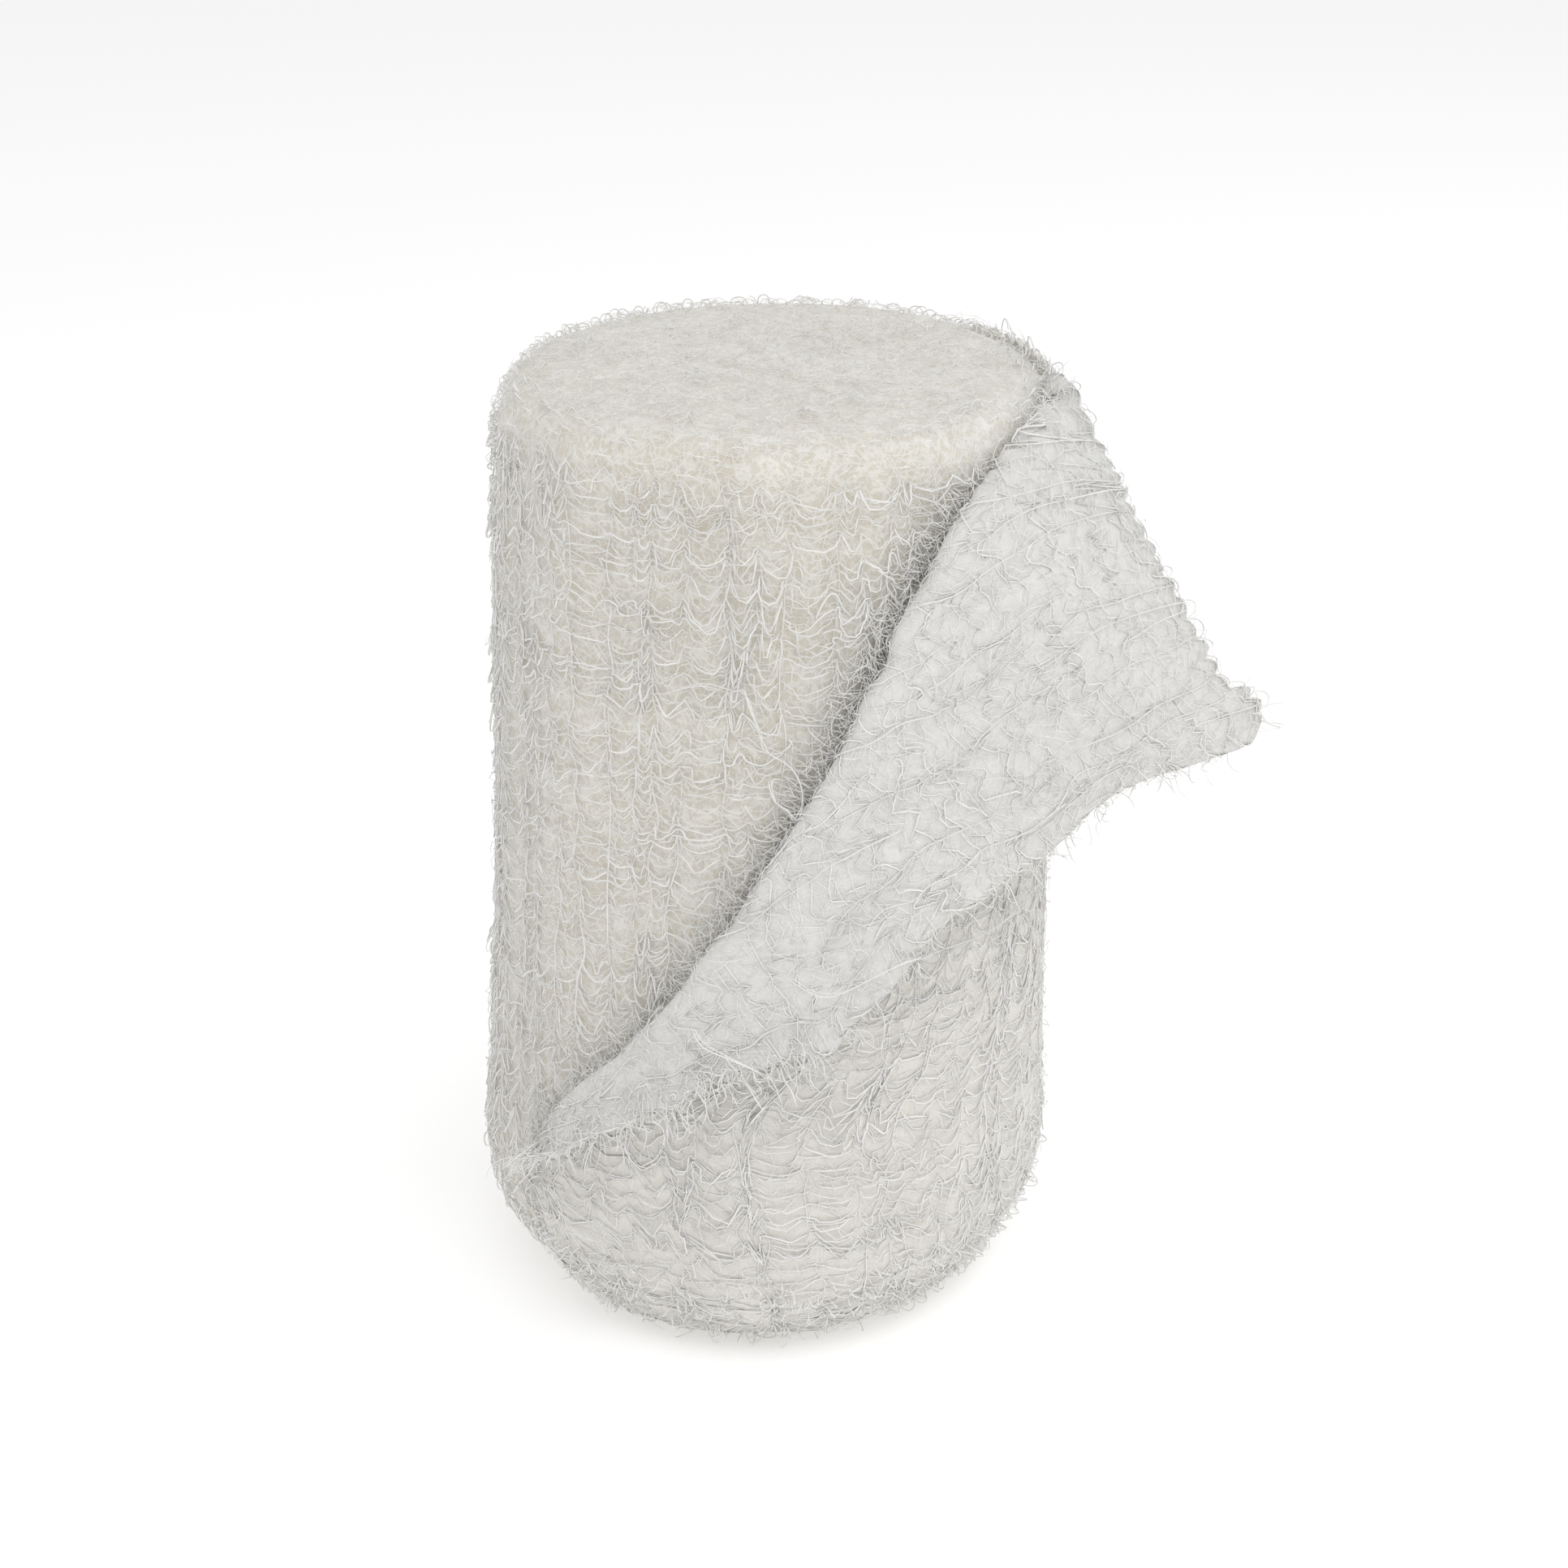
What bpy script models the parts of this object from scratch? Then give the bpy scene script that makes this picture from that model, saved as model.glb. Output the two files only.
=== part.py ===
"""Gauze bandage roll standing on its end, with its loose last turn folded back.

One long strip of soft crinkled gauze is wound into a roll. Its last turn comes off the roll at the back
right, lies round the foot of the roll, and its upper corner is folded back outwards like a lapel.

Lengths are in metres, +Z is up. The origin is on the roll's axis, on the surface that it stands on.
An angle round the roll is in degrees, 0 at the front (-Y) and positive towards the right (+X).
"""

import math
from collections import namedtuple

import bmesh
import bpy
import numpy as np
from mathutils import Vector

MM = 0.001

# Driving dimensions of the wound strip and of its cloth. The roll leans a little to the right.
ROLL_HEIGHT = 114.3 * MM
LEAN = 2.7 / 114.3
CLOTH = 1.5 * MM
CLEARANCE = 0.5 * MM

# The roll's outline in millimetres, from its flat base to its upper end. It is drawn in towards its foot.
# The wave column says how much of the unevenness and of the spiral's outer end shows at that height.
Ring = namedtuple("Ring", "height radius wave")
RINGS = (
    Ring(0.0, 24.0, 0.0),
    Ring(0.7, 25.4, 0.0),
    Ring(3.0, 27.1, 0.2),
    Ring(6.0, 29.1, 0.5),
    Ring(9.0, 31.1, 0.8),
    Ring(12.0, 32.7, 1.0),
    Ring(16.0, 33.4, 1.0),
    Ring(24.0, 33.2, 1.0),
    Ring(36.0, 32.5, 1.0),
    Ring(50.0, 32.0, 1.0),
    Ring(64.0, 31.7, 1.0),
    Ring(78.0, 31.7, 1.0),
    Ring(91.0, 31.7, 1.0),
    Ring(101.0, 31.7, 1.0),
    Ring(108.5, 31.6, 0.8),
    Ring(111.2, 31.0, 0.6),
    Ring(112.9, 29.8, 0.4),
    Ring(113.8, 27.8, 0.3),
    Ring(114.1, 20.0, 0.2),
    Ring(114.3, 8.0, 0.0),
)
FULL_TO = 105 * MM
ROLL_SIDES = 84

# Soft vertical troughs round the wound strip: how many, how deep in millimetres, and how far turned.
Wave = namedtuple("Wave", "count depth turn")
WAVES = (
    Wave(5, 0.28, 20.0),
    Wave(9, 0.22, 75.0),
    Wave(16, 0.16, 140.0),
)
WAVE_LEAN = 0.35

# The last turn leaves the roll at a step in its side, where the spiral of the turns has its outer end.
ROOT_ANGLE = 130.0
STEP_TURN = 0.8
SPIRAL_FADE = 200.0
STEP_HEIGHT = CLEARANCE + CLOTH

# The loose end, row by row up the strip, in millimetres and degrees: where the row leaves the roll's side,
# how far it has lifted there, how far and how tightly it turns back, and where it meets the cut end.
Row = namedtuple("Row", "height fold lift turn bend end_x end_y end_z")
FOLDED_ROWS = (
    Row(21.0, -44.0, 0.0, 0.0, 3.0, -27.4, -20.9, 21.0),
    Row(25.0, -43.0, 0.3, 62.0, 2.6, -27.6, -25.2, 24.7),
    Row(27.5, -41.8, 0.4, 118.0, 2.3, -26.6, -28.4, 27.2),
    Row(30.0, -40.0, 0.5, 158.0, 2.1, -24.3, -30.6, 28.8),
    Row(35.0, -34.4, 0.6, 174.0, 2.2, -19.3, -33.6, 32.6),
    Row(41.0, -24.0, 0.8, 177.0, 2.4, -13.0, -36.5, 37.0),
    Row(48.0, -15.0, 1.0, 180.0, 2.5, -6.0, -38.2, 41.8),
    Row(55.6, -6.6, 1.2, 184.0, 2.5, 2.0, -38.9, 45.8),
    Row(64.0, 1.9, 1.4, 185.0, 2.5, 9.6, -38.4, 48.8),
    Row(73.0, 10.2, 1.6, 186.0, 2.5, 17.2, -36.0, 57.8),
    Row(82.0, 17.7, 1.8, 187.0, 2.5, 26.2, -31.0, 62.8),
    Row(91.0, 25.0, 1.9, 186.0, 2.5, 34.4, -24.5, 65.2),
    Row(99.0, 32.4, 1.9, 183.0, 2.4, 42.0, -19.8, 69.4),
    Row(105.0, 40.0, 1.7, 176.0, 2.2, 48.6, -17.6, 72.6),
    Row(109.0, 50.0, 1.2, 166.0, 2.0, 52.8, -16.2, 74.4),
    Row(111.5, 64.0, 0.4, 157.0, 2.0, 55.4, -15.3, 75.2),
    Row(113.4, 80.0, -0.2, 149.0, 1.8, 56.6, -14.8, 76.0),
)
LIFT_TURN = 24.0
LINE_SPAN = 5 * MM
MOST_SLIDE = 0.35
LAPEL_SAG = 0.03
BEND_POINTS = 16
LAPEL_POINTS = 30

# The last turn stands off the roll a little on its right.
SLACK = 0.3 * MM
SLACK_FROM = 30.0
SLOPE_SPAN = 1 * MM

# Below the fold the strip's end lies on the roll. The grid keeps the same number of columns past the
# angle given as fold, up to the cut end.
CutPoint = namedtuple("CutPoint", "height fold end")
CUT_END = (
    CutPoint(3.0, -32.0, -40.0),
    CutPoint(9.0, -36.0, -44.0),
    CutPoint(15.0, -40.0, -47.5),
    CutPoint(21.0, -44.0, -53.0),
)
LOWER_EDGE = 3 * MM
UPPER_EDGE = 113.4 * MM
STRIP_ROWS = 35
LINE_POINTS = 400
LYING_COLUMNS = 38
FOLDED_COLUMNS = 26
FOLD_DENSITY = 1.25

ROLL_COLOUR = (0.80, 0.76, 0.68, 1.0)
LOOSE_COLOUR = (0.84, 0.82, 0.77, 1.0)
CLOTH_ROUGHNESS = 0.95


def clear_scene():
    """Remove every object that the file starts with."""
    for thing in list(bpy.data.objects):
        bpy.data.objects.remove(thing, do_unlink=True)


def cloth_material(name, colour):
    """Matt cloth in one colour."""
    material = bpy.data.materials.new(name)
    material.use_nodes = True
    shader = material.node_tree.nodes["Principled BSDF"]
    shader.inputs["Base Color"].default_value = colour
    shader.inputs["Roughness"].default_value = CLOTH_ROUGHNESS
    shader.inputs["Metallic"].default_value = 0.0
    return material


def make_object(name, mesh, colour):
    """Object that holds a finished mesh, smooth shaded."""
    data = bpy.data.meshes.new(name)
    mesh.to_mesh(data)
    mesh.free()
    data.materials.append(cloth_material(name, colour))
    data.shade_smooth()
    thing = bpy.data.objects.new(name, data)
    bpy.context.scene.collection.objects.link(thing)
    return thing


def ease(share):
    """Smooth step from 0 to 1."""
    share = min(max(share, 0.0), 1.0)
    return share * share * (3 - 2 * share)


def unit(vector):
    """Vector of length 1."""
    return vector / np.linalg.norm(vector)


def read_table(rows, column, height):
    """Value of a table's column at a height, on a smooth curve through its rows."""
    heights = [row.height * MM for row in rows]
    values = [getattr(row, column) for row in rows]
    slopes = np.gradient(values, heights)
    height = min(max(height, heights[0]), heights[-1])
    k = min(int(np.searchsorted(heights, height, side="right")) - 1, len(rows) - 2)
    span = heights[k + 1] - heights[k]
    t = (height - heights[k]) / span
    rise = values[k + 1] - values[k]
    bow = (1 - t) * slopes[k] * span - t * slopes[k + 1] * span + rise * (2 * t - 1)
    return values[k] + rise * t + t * (1 - t) * bow


def around(angle, radius, height):
    """Point at an angle round the roll."""
    turn = math.radians(angle)
    return np.array((radius * math.sin(turn) + LEAN * height, -radius * math.cos(turn), height))


def along(angle):
    """Direction in which the last turn runs, from the right to the left round the front."""
    turn = math.radians(angle)
    return np.array((-math.cos(turn), -math.sin(turn), 0.0))


def unevenness(angle, height):
    """How far the soft troughs move the roll's side out or in."""
    lean = WAVE_LEAN * math.sin(height / ROLL_HEIGHT * math.pi)
    return sum(
        wave.depth * MM * math.sin(math.radians(wave.count * angle + wave.turn) + lean)
        for wave in WAVES
    )


def spiral(angle):
    """How far the outer end of the wound spiral stands out, most just behind the last turn's root."""
    turn = (angle - ROOT_ANGLE) % 360
    return STEP_HEIGHT * (1 - ease(turn / SPIRAL_FADE))


def roll_ring(mesh, ring):
    """One closed ring of edges of the roll, with two corners close together at the step."""
    height = ring.height * MM
    spacing = (360 - STEP_TURN) / (ROLL_SIDES - 1)
    corners = []
    for k in range(ROLL_SIDES):
        angle = ROOT_ANGLE + spacing * k
        side = ring.radius * MM + ring.wave * (unevenness(angle, height) + spiral(angle))
        corners.append(mesh.verts.new(around(angle, side, height)))
    return [mesh.edges.new(pair) for pair in zip(corners, corners[1:] + corners[:1])]


def make_wound_roll():
    """The wound turns as one solid, flat where it stands and domed above."""
    mesh = bmesh.new()
    rings = [roll_ring(mesh, ring) for ring in RINGS]
    for lower, upper in zip(rings, rings[1:]):
        bmesh.ops.bridge_loops(mesh, edges=lower + upper)
    bmesh.ops.holes_fill(mesh, edges=rings[0] + rings[-1], sides=ROLL_SIDES)
    bmesh.ops.recalc_face_normals(mesh, faces=mesh.faces)
    return make_object("wound_roll", mesh, ROLL_COLOUR)


def roll_side(angle, height):
    """Radius of the roll's side below its rounded upper end."""
    level = min(height, FULL_TO)
    wave = read_table(RINGS, "wave", level)
    return read_table(RINGS, "radius", level) * MM + wave * unevenness(angle, level)


def lying_point(angle, height, lift=0.0):
    """Middle of the last turn where it lies on the roll's side, or has lifted a little way off it."""
    flare = (roll_side(angle, height + SLOPE_SPAN) - roll_side(angle, height - SLOPE_SPAN)) / SLOPE_SPAN / 2
    off = (CLEARANCE + CLOTH / 2) / math.hypot(1, flare)
    bulge = math.sin(math.pi * min(max((angle - SLACK_FROM) / (ROOT_ANGLE - SLACK_FROM), 0.0), 1.0))
    slack = SLACK * bulge**2 * math.sin(math.pi * height / ROLL_HEIGHT) ** 2
    return around(angle, roll_side(angle, height) + off + slack + lift, height - off * flare)


def fold_point(height):
    """Where a row of the loose end starts to turn back."""
    angle = read_table(FOLDED_ROWS, "fold", height)
    return lying_point(angle, height, read_table(FOLDED_ROWS, "lift", height) * MM)


def bend_path(height):
    """Points of the soft bend over the fold."""
    angle = read_table(FOLDED_ROWS, "fold", height)
    radius = read_table(FOLDED_ROWS, "bend", height) * MM
    start = fold_point(height)
    out = around(angle, 1.0, 0.0)
    line = fold_point(height + LINE_SPAN) - fold_point(height - LINE_SPAN)
    line = unit(line - line.dot(out) * out)
    across = np.cross(out, line)
    slide = max(along(angle).dot(line) / along(angle).dot(across), -MOST_SLIDE)
    points = []
    for turn in np.radians(np.linspace(0, read_table(FOLDED_ROWS, "turn", height), BEND_POINTS)):
        reach = across * math.sin(turn) + out * (1 - math.cos(turn)) + line * slide * turn
        points.append(start + radius * reach)
    return points


def folded_part(height):
    """The path of a row past its fold, and the distance along it at each of its points."""
    end = np.array([read_table(FOLDED_ROWS, c, height) * MM for c in ("end_x", "end_y", "end_z")])
    bend = bend_path(height)
    reach = end - bend[-1]
    drop = np.array((0.0, 0.0, LAPEL_SAG * np.linalg.norm(reach)))
    shares = np.linspace(0, 1, LAPEL_POINTS)[1:]
    lapel = [bend[-1] + reach * t - drop * math.sin(math.pi * t) for t in shares]
    path = np.array(bend + lapel)
    steps = np.linalg.norm(np.diff(path, axis=0), axis=1)
    return path, np.concatenate(([0.0], np.cumsum(steps)))


def row_points(height):
    """The grid points of one row of the loose end, from its root to the cut end."""
    first = ROOT_ANGLE - 2 * STEP_TURN
    shares = np.linspace(0, 1, FOLDED_COLUMNS + 1)[1:] ** FOLD_DENSITY
    if height <= FOLDED_ROWS[0].height * MM:
        fold = read_table(CUT_END, "fold", height)
        end = read_table(CUT_END, "end", height)
        angles = [*np.linspace(first, fold, LYING_COLUMNS), *(fold + (end - fold) * shares)]
        return [lying_point(angle, height) for angle in angles]
    fold = read_table(FOLDED_ROWS, "fold", height)
    lift = read_table(FOLDED_ROWS, "lift", height) * MM
    points = []
    for angle in np.linspace(first, fold, LYING_COLUMNS):
        points.append(lying_point(angle, height, lift * ease(1 - (angle - fold) / LIFT_TURN)))
    path, run = folded_part(height)
    for at in shares * run[-1]:
        points.append(np.array([np.interp(at, run, path[:, k]) for k in range(3)]))
    return points


def row_heights():
    """Heights of the grid's rows, evenly spaced along the fold line."""
    fine = np.linspace(LOWER_EDGE, UPPER_EDGE, LINE_POINTS)
    line = np.array([fold_point(height) for height in fine])
    run = np.concatenate(([0.0], np.cumsum(np.linalg.norm(np.diff(line, axis=0), axis=1))))
    return np.interp(np.linspace(0, run[-1], STRIP_ROWS), run, fine)


def make_loose_end():
    """The last turn as one sheet: a grid of its rows, given its thickness on both sides."""
    mesh = bmesh.new()
    grid = [[mesh.verts.new(Vector(point)) for point in row_points(h)] for h in row_heights()]
    for lower, upper in zip(grid, grid[1:]):
        for k in range(len(lower) - 1):
            mesh.faces.new((lower[k], upper[k], upper[k + 1], lower[k + 1]))
    thing = make_object("loose_end", mesh, LOOSE_COLOUR)
    wall = thing.modifiers.new("cloth", "SOLIDIFY")
    wall.thickness = CLOTH
    wall.offset = 0.0
    return thing


def main():
    """Build the whole object."""
    clear_scene()
    make_wound_roll()
    make_loose_end()


main()
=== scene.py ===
"""Looks of the gauze bandage roll: crimped yarns, fluff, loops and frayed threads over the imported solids.

Lengths are in metres, +Z is up. The origin is where the roll's axis meets the surface that it stands on.
An angle round the roll is in degrees, 0 at the front (-Y) and positive towards the right (+X).
"""

import functools
import math
from collections import namedtuple

import bpy
import numpy as np
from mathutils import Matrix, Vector
from mathutils.bvhtree import BVHTree


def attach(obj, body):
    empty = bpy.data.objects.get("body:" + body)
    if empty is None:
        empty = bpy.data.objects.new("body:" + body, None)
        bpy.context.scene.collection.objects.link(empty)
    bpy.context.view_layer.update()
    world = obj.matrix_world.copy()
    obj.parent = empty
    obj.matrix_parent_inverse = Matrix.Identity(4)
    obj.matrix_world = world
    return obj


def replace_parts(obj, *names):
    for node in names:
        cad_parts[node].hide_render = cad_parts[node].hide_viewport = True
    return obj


bl_info = {
    "name": "Gauze bandage roll",
    "version": (1, 0, 0),
    "blender": (4, 5, 0),
    "location": "View3D > Sidebar > Gauze",
    "description": "Dresses a gauze bandage roll in crimped yarns, fluff, loops and frayed threads",
    "category": "Object",
}

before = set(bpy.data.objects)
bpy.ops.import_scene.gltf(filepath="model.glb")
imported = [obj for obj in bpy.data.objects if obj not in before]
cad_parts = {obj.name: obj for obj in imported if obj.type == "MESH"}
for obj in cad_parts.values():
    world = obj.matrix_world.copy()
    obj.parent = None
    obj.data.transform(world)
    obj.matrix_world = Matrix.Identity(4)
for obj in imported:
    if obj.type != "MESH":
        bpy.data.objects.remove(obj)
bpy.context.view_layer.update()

MM = 0.001

# The camera that the photo was taken with, as the roll's outline gives it. Its frame is square.
FRAME_PIXELS = 1932
CAMERA_PLACE = (3.5 * MM, -321.0 * MM, 204.8 * MM)
CAMERA_PITCH = 24.0
FOCAL_PIXELS = 3580.0
SENSOR = 36.0
NEAREST = 0.01
FARTHEST = 20.0

# The studio. The floor lies a little below the roll's base, so that the two faces don't share a plane.
FLOOR_REACH = 3.0
FLOOR_DROP = 0.15 * MM
LAMP_AIM = (0.0, 0.0, 0.05)
Lamp = namedtuple("Lamp", "name place size")
LAMPS = (
    Lamp("key", (0.10, -0.45, 0.68), 0.8),
    Lamp("fill", (0.55, 0.10, 0.50), 0.6),
)

# The wound strip and its cloth, as in the solids.
ROLL_HEIGHT = 114.3 * MM
ROLL_RADIUS = 33.5 * MM
LEAN = 2.7 / 114.3
CLOTH = 1.5 * MM
CLEARANCE = 0.5 * MM
FULL_TO = 105 * MM
LOWER_EDGE = 3 * MM
UPPER_EDGE = 113.4 * MM

# The loose end, row by row up the strip, in millimetres and degrees: where the row leaves the roll's side,
# how far it has lifted there, how far and how tightly it turns back, and where it meets the cut end.
Row = namedtuple("Row", "height fold lift turn bend end_x end_y end_z")
FOLDED_ROWS = (
    Row(21.0, -44.0, 0.0, 0.0, 3.0, -27.4, -20.9, 21.0),
    Row(25.0, -43.0, 0.3, 62.0, 2.6, -27.6, -25.2, 24.7),
    Row(27.5, -41.8, 0.4, 118.0, 2.3, -26.6, -28.4, 27.2),
    Row(30.0, -40.0, 0.5, 158.0, 2.1, -24.3, -30.6, 28.8),
    Row(35.0, -34.4, 0.6, 174.0, 2.2, -19.3, -33.6, 32.6),
    Row(41.0, -24.0, 0.8, 177.0, 2.4, -13.0, -36.5, 37.0),
    Row(48.0, -15.0, 1.0, 180.0, 2.5, -6.0, -38.2, 41.8),
    Row(55.6, -6.6, 1.2, 184.0, 2.5, 2.0, -38.9, 45.8),
    Row(64.0, 1.9, 1.4, 185.0, 2.5, 9.6, -38.4, 48.8),
    Row(73.0, 10.2, 1.6, 186.0, 2.5, 17.2, -36.0, 57.8),
    Row(82.0, 17.7, 1.8, 187.0, 2.5, 26.2, -31.0, 62.8),
    Row(91.0, 25.0, 1.9, 186.0, 2.5, 34.4, -24.5, 65.2),
    Row(99.0, 32.4, 1.9, 183.0, 2.4, 42.0, -19.8, 69.4),
    Row(105.0, 40.0, 1.7, 176.0, 2.2, 48.6, -17.6, 72.6),
    Row(109.0, 50.0, 1.2, 166.0, 2.0, 52.8, -16.2, 74.4),
    Row(111.5, 64.0, 0.4, 157.0, 2.0, 55.4, -15.3, 75.2),
    Row(113.4, 80.0, -0.2, 149.0, 1.8, 56.6, -14.8, 76.0),
)
CutPoint = namedtuple("CutPoint", "height end")
CUT_END = (
    CutPoint(3.0, -40.0),
    CutPoint(9.0, -44.0),
    CutPoint(15.0, -47.5),
    CutPoint(21.0, -53.0),
)

# Where the last turn leaves the roll, the degrees over which a row lifts before its fold, the stretch of the
# fold line that gives its slant, the most that the bend slides along it, and the lapel's sag for its length.
ROOT_ANGLE = 128.4
LIFT_TURN = 24.0
LINE_SPAN = 5 * MM
MOST_SLIDE = 0.35
LAPEL_SAG = 0.03

# The felt isn't even: the lapel ripples, and the upper selvage is scalloped and wider at its tip and lapel.
RIPPLE = 0.28 * MM
SCALLOPS = 30
SCALLOP = 1.4 * MM
TIP_WIDER = 2.0 * MM
LAPEL_WIDER = 2.2 * MM
FELT_SEED = 77

# The felt lies closer than the solid, which is as thick as all the plies: its root sinks into the roll,
# its upper selvage leans over the rim, and its fold is lower and tighter.
ROOT_SINKS = 0.75
ROOT_RUN = 12.0
RIM_LEAN = 2.3 * MM
FELT_FOLDS_EARLIER = 1.8
FELT_LIFT = 0.25
FELT_BEND = 0.5
FELT_THICKNESS = 0.35 * MM

# How far light spreads inside the layered cotton, and how much of the roll's painted shade between its yarns
# the felt takes where it lies on the roll.
GLOW_DEPTH = 6 * MM
LYING_SHADE = 0.6

# The curled fibres that are drawn on the felt, in layers.
FibreLayer = namedtuple("FibreLayer", "seed size width")
FIBRE_LAYERS = (
    FibreLayer(1.0, 1.0, 0.05),
    FibreLayer(7.0, 1.4, 0.06),
    FibreLayer(13.0, 0.7, 0.04),
)

# The heights between which the roll's side has yarns, and the distance between a yarn's two strands.
YARNS_FROM = 1.5 * MM
YARNS_TO = 109.5 * MM
STRAND_GAP = 0.4 * MM

# Kinds of fluff: fibres in a square metre, and each fibre's length, curl and lift in millimetres.
Fluff = namedtuple("Fluff", "name seed density length curl lift")
ROLL_FLUFF = (
    Fluff("roll_fluff", 11, 0.18e6, 4.0, 0.9, 0.6),
    Fluff("end_fluff", 23, 0.62e6, 3.4, 0.9, 0.5),
    Fluff("crease_fluff", 29, 3.0e6, 3.8, 0.9, 1.4),
)
LOOSE_FLUFF = (
    Fluff("loose_fluff", 31, 0.36e6, 3.8, 0.9, 0.4),
    Fluff("lapel_fluff", 37, 0.80e6, 3.8, 0.7, 0.3),
)

# Small loops of yarn on the roll's side and rim, near the loose end's lower selvage, and along its fold.
SIDE_LOOPS = 320
RIM_LOOPS = 150
FOOT_LOOPS = 360
FOLD_LOOPS = 260

# Loops along the two selvages: which way they stand, and from how tall to how tall in millimetres.
Selvage = namedtuple("Selvage", "edge way low high")
SELVAGES = (
    Selvage(1.0, 1.0, 0.7, 2.2),
    Selvage(0.0, -1.0, 0.3, 1.1),
)

# Threads frayed out of the cut end, from one share of the strip's width to another: how many, the longest in
# millimetres, and how far they hang for their length.
Fray = namedtuple("Fray", "low high count longest droop")
FRAYS = (
    Fray(0.00, 0.18, 90, 3.5, 0.3),
    Fray(0.16, 0.52, 440, 4.5, 0.4),
    Fray(0.50, 0.80, 80, 3.5, 0.4),
    Fray(0.80, 0.92, 40, 4.0, 0.7),
    Fray(0.90, 1.00, 50, 3.0, 0.2),
)
FRAY_SHORTEST = 0.6
FRAY_CURL = 0.9 * MM
FRAY_POINTS = 9

# Threads that have come loose and lie on the outside: the angle round the roll, the height and the distance
# from its axis of each point.
Stray = namedtuple("Stray", "angle height reach")
STRAY_LOOP = (
    Stray(-20.0, 86.1, 32.0),
    Stray(-12.8, 87.6, 32.6),
    Stray(-7.8, 87.0, 32.6),
    Stray(-4.8, 87.4, 33.4),
    Stray(-2.1, 83.0, 33.4),
    Stray(-0.8, 81.0, 33.6),
    Stray(2.1, 79.7, 33.4),
    Stray(3.4, 78.9, 33.6),
    Stray(6.1, 75.8, 33.8),
    Stray(6.4, 73.8, 34.0),
    Stray(5.1, 72.5, 34.2),
    Stray(3.8, 73.8, 34.0),
    Stray(1.5, 75.2, 33.8),
    Stray(0.3, 76.5, 33.4),
    Stray(1.4, 77.0, 33.2),
    Stray(3.4, 76.4, 32.4),
)
STRAY_YARN = (
    Stray(4.0, 56.5, 40.2),
    Stray(7.5, 55.3, 41.4),
    Stray(11.4, 54.6, 41.2),
    Stray(15.3, 55.8, 41.2),
    Stray(22.3, 57.5, 41.0),
    Stray(28.0, 56.2, 38.6),
    Stray(34.4, 54.3, 35.4),
    Stray(46.2, 54.2, 35.2),
    Stray(58.7, 54.6, 35.0),
    Stray(64.0, 53.6, 34.4),
)
STRAY_END = (
    Stray(-11.0, 50.0, 40.2),
    Stray(-8.4, 48.1, 41.0),
    Stray(-2.5, 45.6, 40.6),
    Stray(3.3, 41.2, 36.0),
    Stray(7.1, 42.1, 35.4),
    Stray(10.9, 44.4, 35.6),
)


def ease(share):
    """Smooth step from 0 to 1."""
    share = np.clip(share, 0.0, 1.0)
    return share * share * (3 - 2 * share)


def unit(vectors):
    """Vectors of length 1."""
    return vectors / np.maximum(np.linalg.norm(vectors, axis=-1, keepdims=True), 1e-12)


def drift(rng, count, step):
    """Smooth random values, about one wave in each step of the count."""
    step = max(int(step), 2)
    knots = rng.normal(size=count // step + 4)
    line = np.interp(np.arange(count + 2 * step) / step, np.arange(len(knots)), knots)
    return np.convolve(line, np.ones(step) / step, mode="same")[step : step + count]


def drift_field(rng, rows, columns, row_step, column_step):
    """Smooth random values over a grid."""
    field = np.array([drift(rng, columns, column_step) for _ in range(rows // row_step + 3)])
    at = np.arange(rows) / row_step
    low = at.astype(int)
    share = ease(at - low)[:, None]
    return field[low] * (1 - share) + field[low + 1] * share


def shake(rng, count, step):
    """Smooth random shifts in all three directions."""
    return np.stack([drift(rng, count, step) for _ in range(3)], axis=-1)


def run_along(path):
    """How far along a path each of its points lies."""
    return np.concatenate(([0.0], np.cumsum(np.linalg.norm(np.diff(path, axis=0), axis=1))))


def spread_along(path, count):
    """Evenly spaced points along a path."""
    run = run_along(path)
    places = np.linspace(0, run[-1], count)
    return np.stack([np.interp(places, run, path[:, k]) for k in range(3)], axis=-1)


def share_grid(rows, columns):
    """The shares u and v of a grid's points."""
    return np.meshgrid(np.linspace(0, 1, columns), np.linspace(0, 1, rows))


def read_grid(grid, x, y):
    """Values between a grid's points, x columns across and y rows up."""
    rows, columns = grid.shape[:2]
    i = np.minimum(x.astype(int), columns - 2)
    j = np.minimum(y.astype(int), rows - 2)
    x = x - i
    y = y - j
    if grid.ndim == 3:
        x = x[..., None]
        y = y[..., None]
    low = grid[j, i] * (1 - x) + grid[j, i + 1] * x
    high = grid[j + 1, i] * (1 - x) + grid[j + 1, i + 1] * x
    return low * (1 - y) + high * y


def read_table(rows, column, height):
    """Values of a table's column at heights, on a smooth curve through its rows."""
    heights = np.array([row.height for row in rows]) * MM
    values = np.array([getattr(row, column) for row in rows])
    slopes = np.gradient(values, heights)
    height = np.clip(height, heights[0], heights[-1])
    k = np.clip(np.searchsorted(heights, height, side="right") - 1, 0, len(rows) - 2)
    span = heights[k + 1] - heights[k]
    t = (height - heights[k]) / span
    rise = values[k + 1] - values[k]
    bow = (1 - t) * slopes[k] * span - t * slopes[k + 1] * span + rise * (2 * t - 1)
    return values[k] + rise * t + t * (1 - t) * bow


def around(angle, radius, height):
    """Points at angles round the roll."""
    turn = np.radians(angle)
    height = height + np.zeros_like(turn)
    return np.stack((radius * np.sin(turn) + LEAN * height, -radius * np.cos(turn), height), axis=-1)


def signed(angle):
    """The same angles, from -180 to 180."""
    return np.mod(angle + 180.0, 360.0) - 180.0


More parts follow.
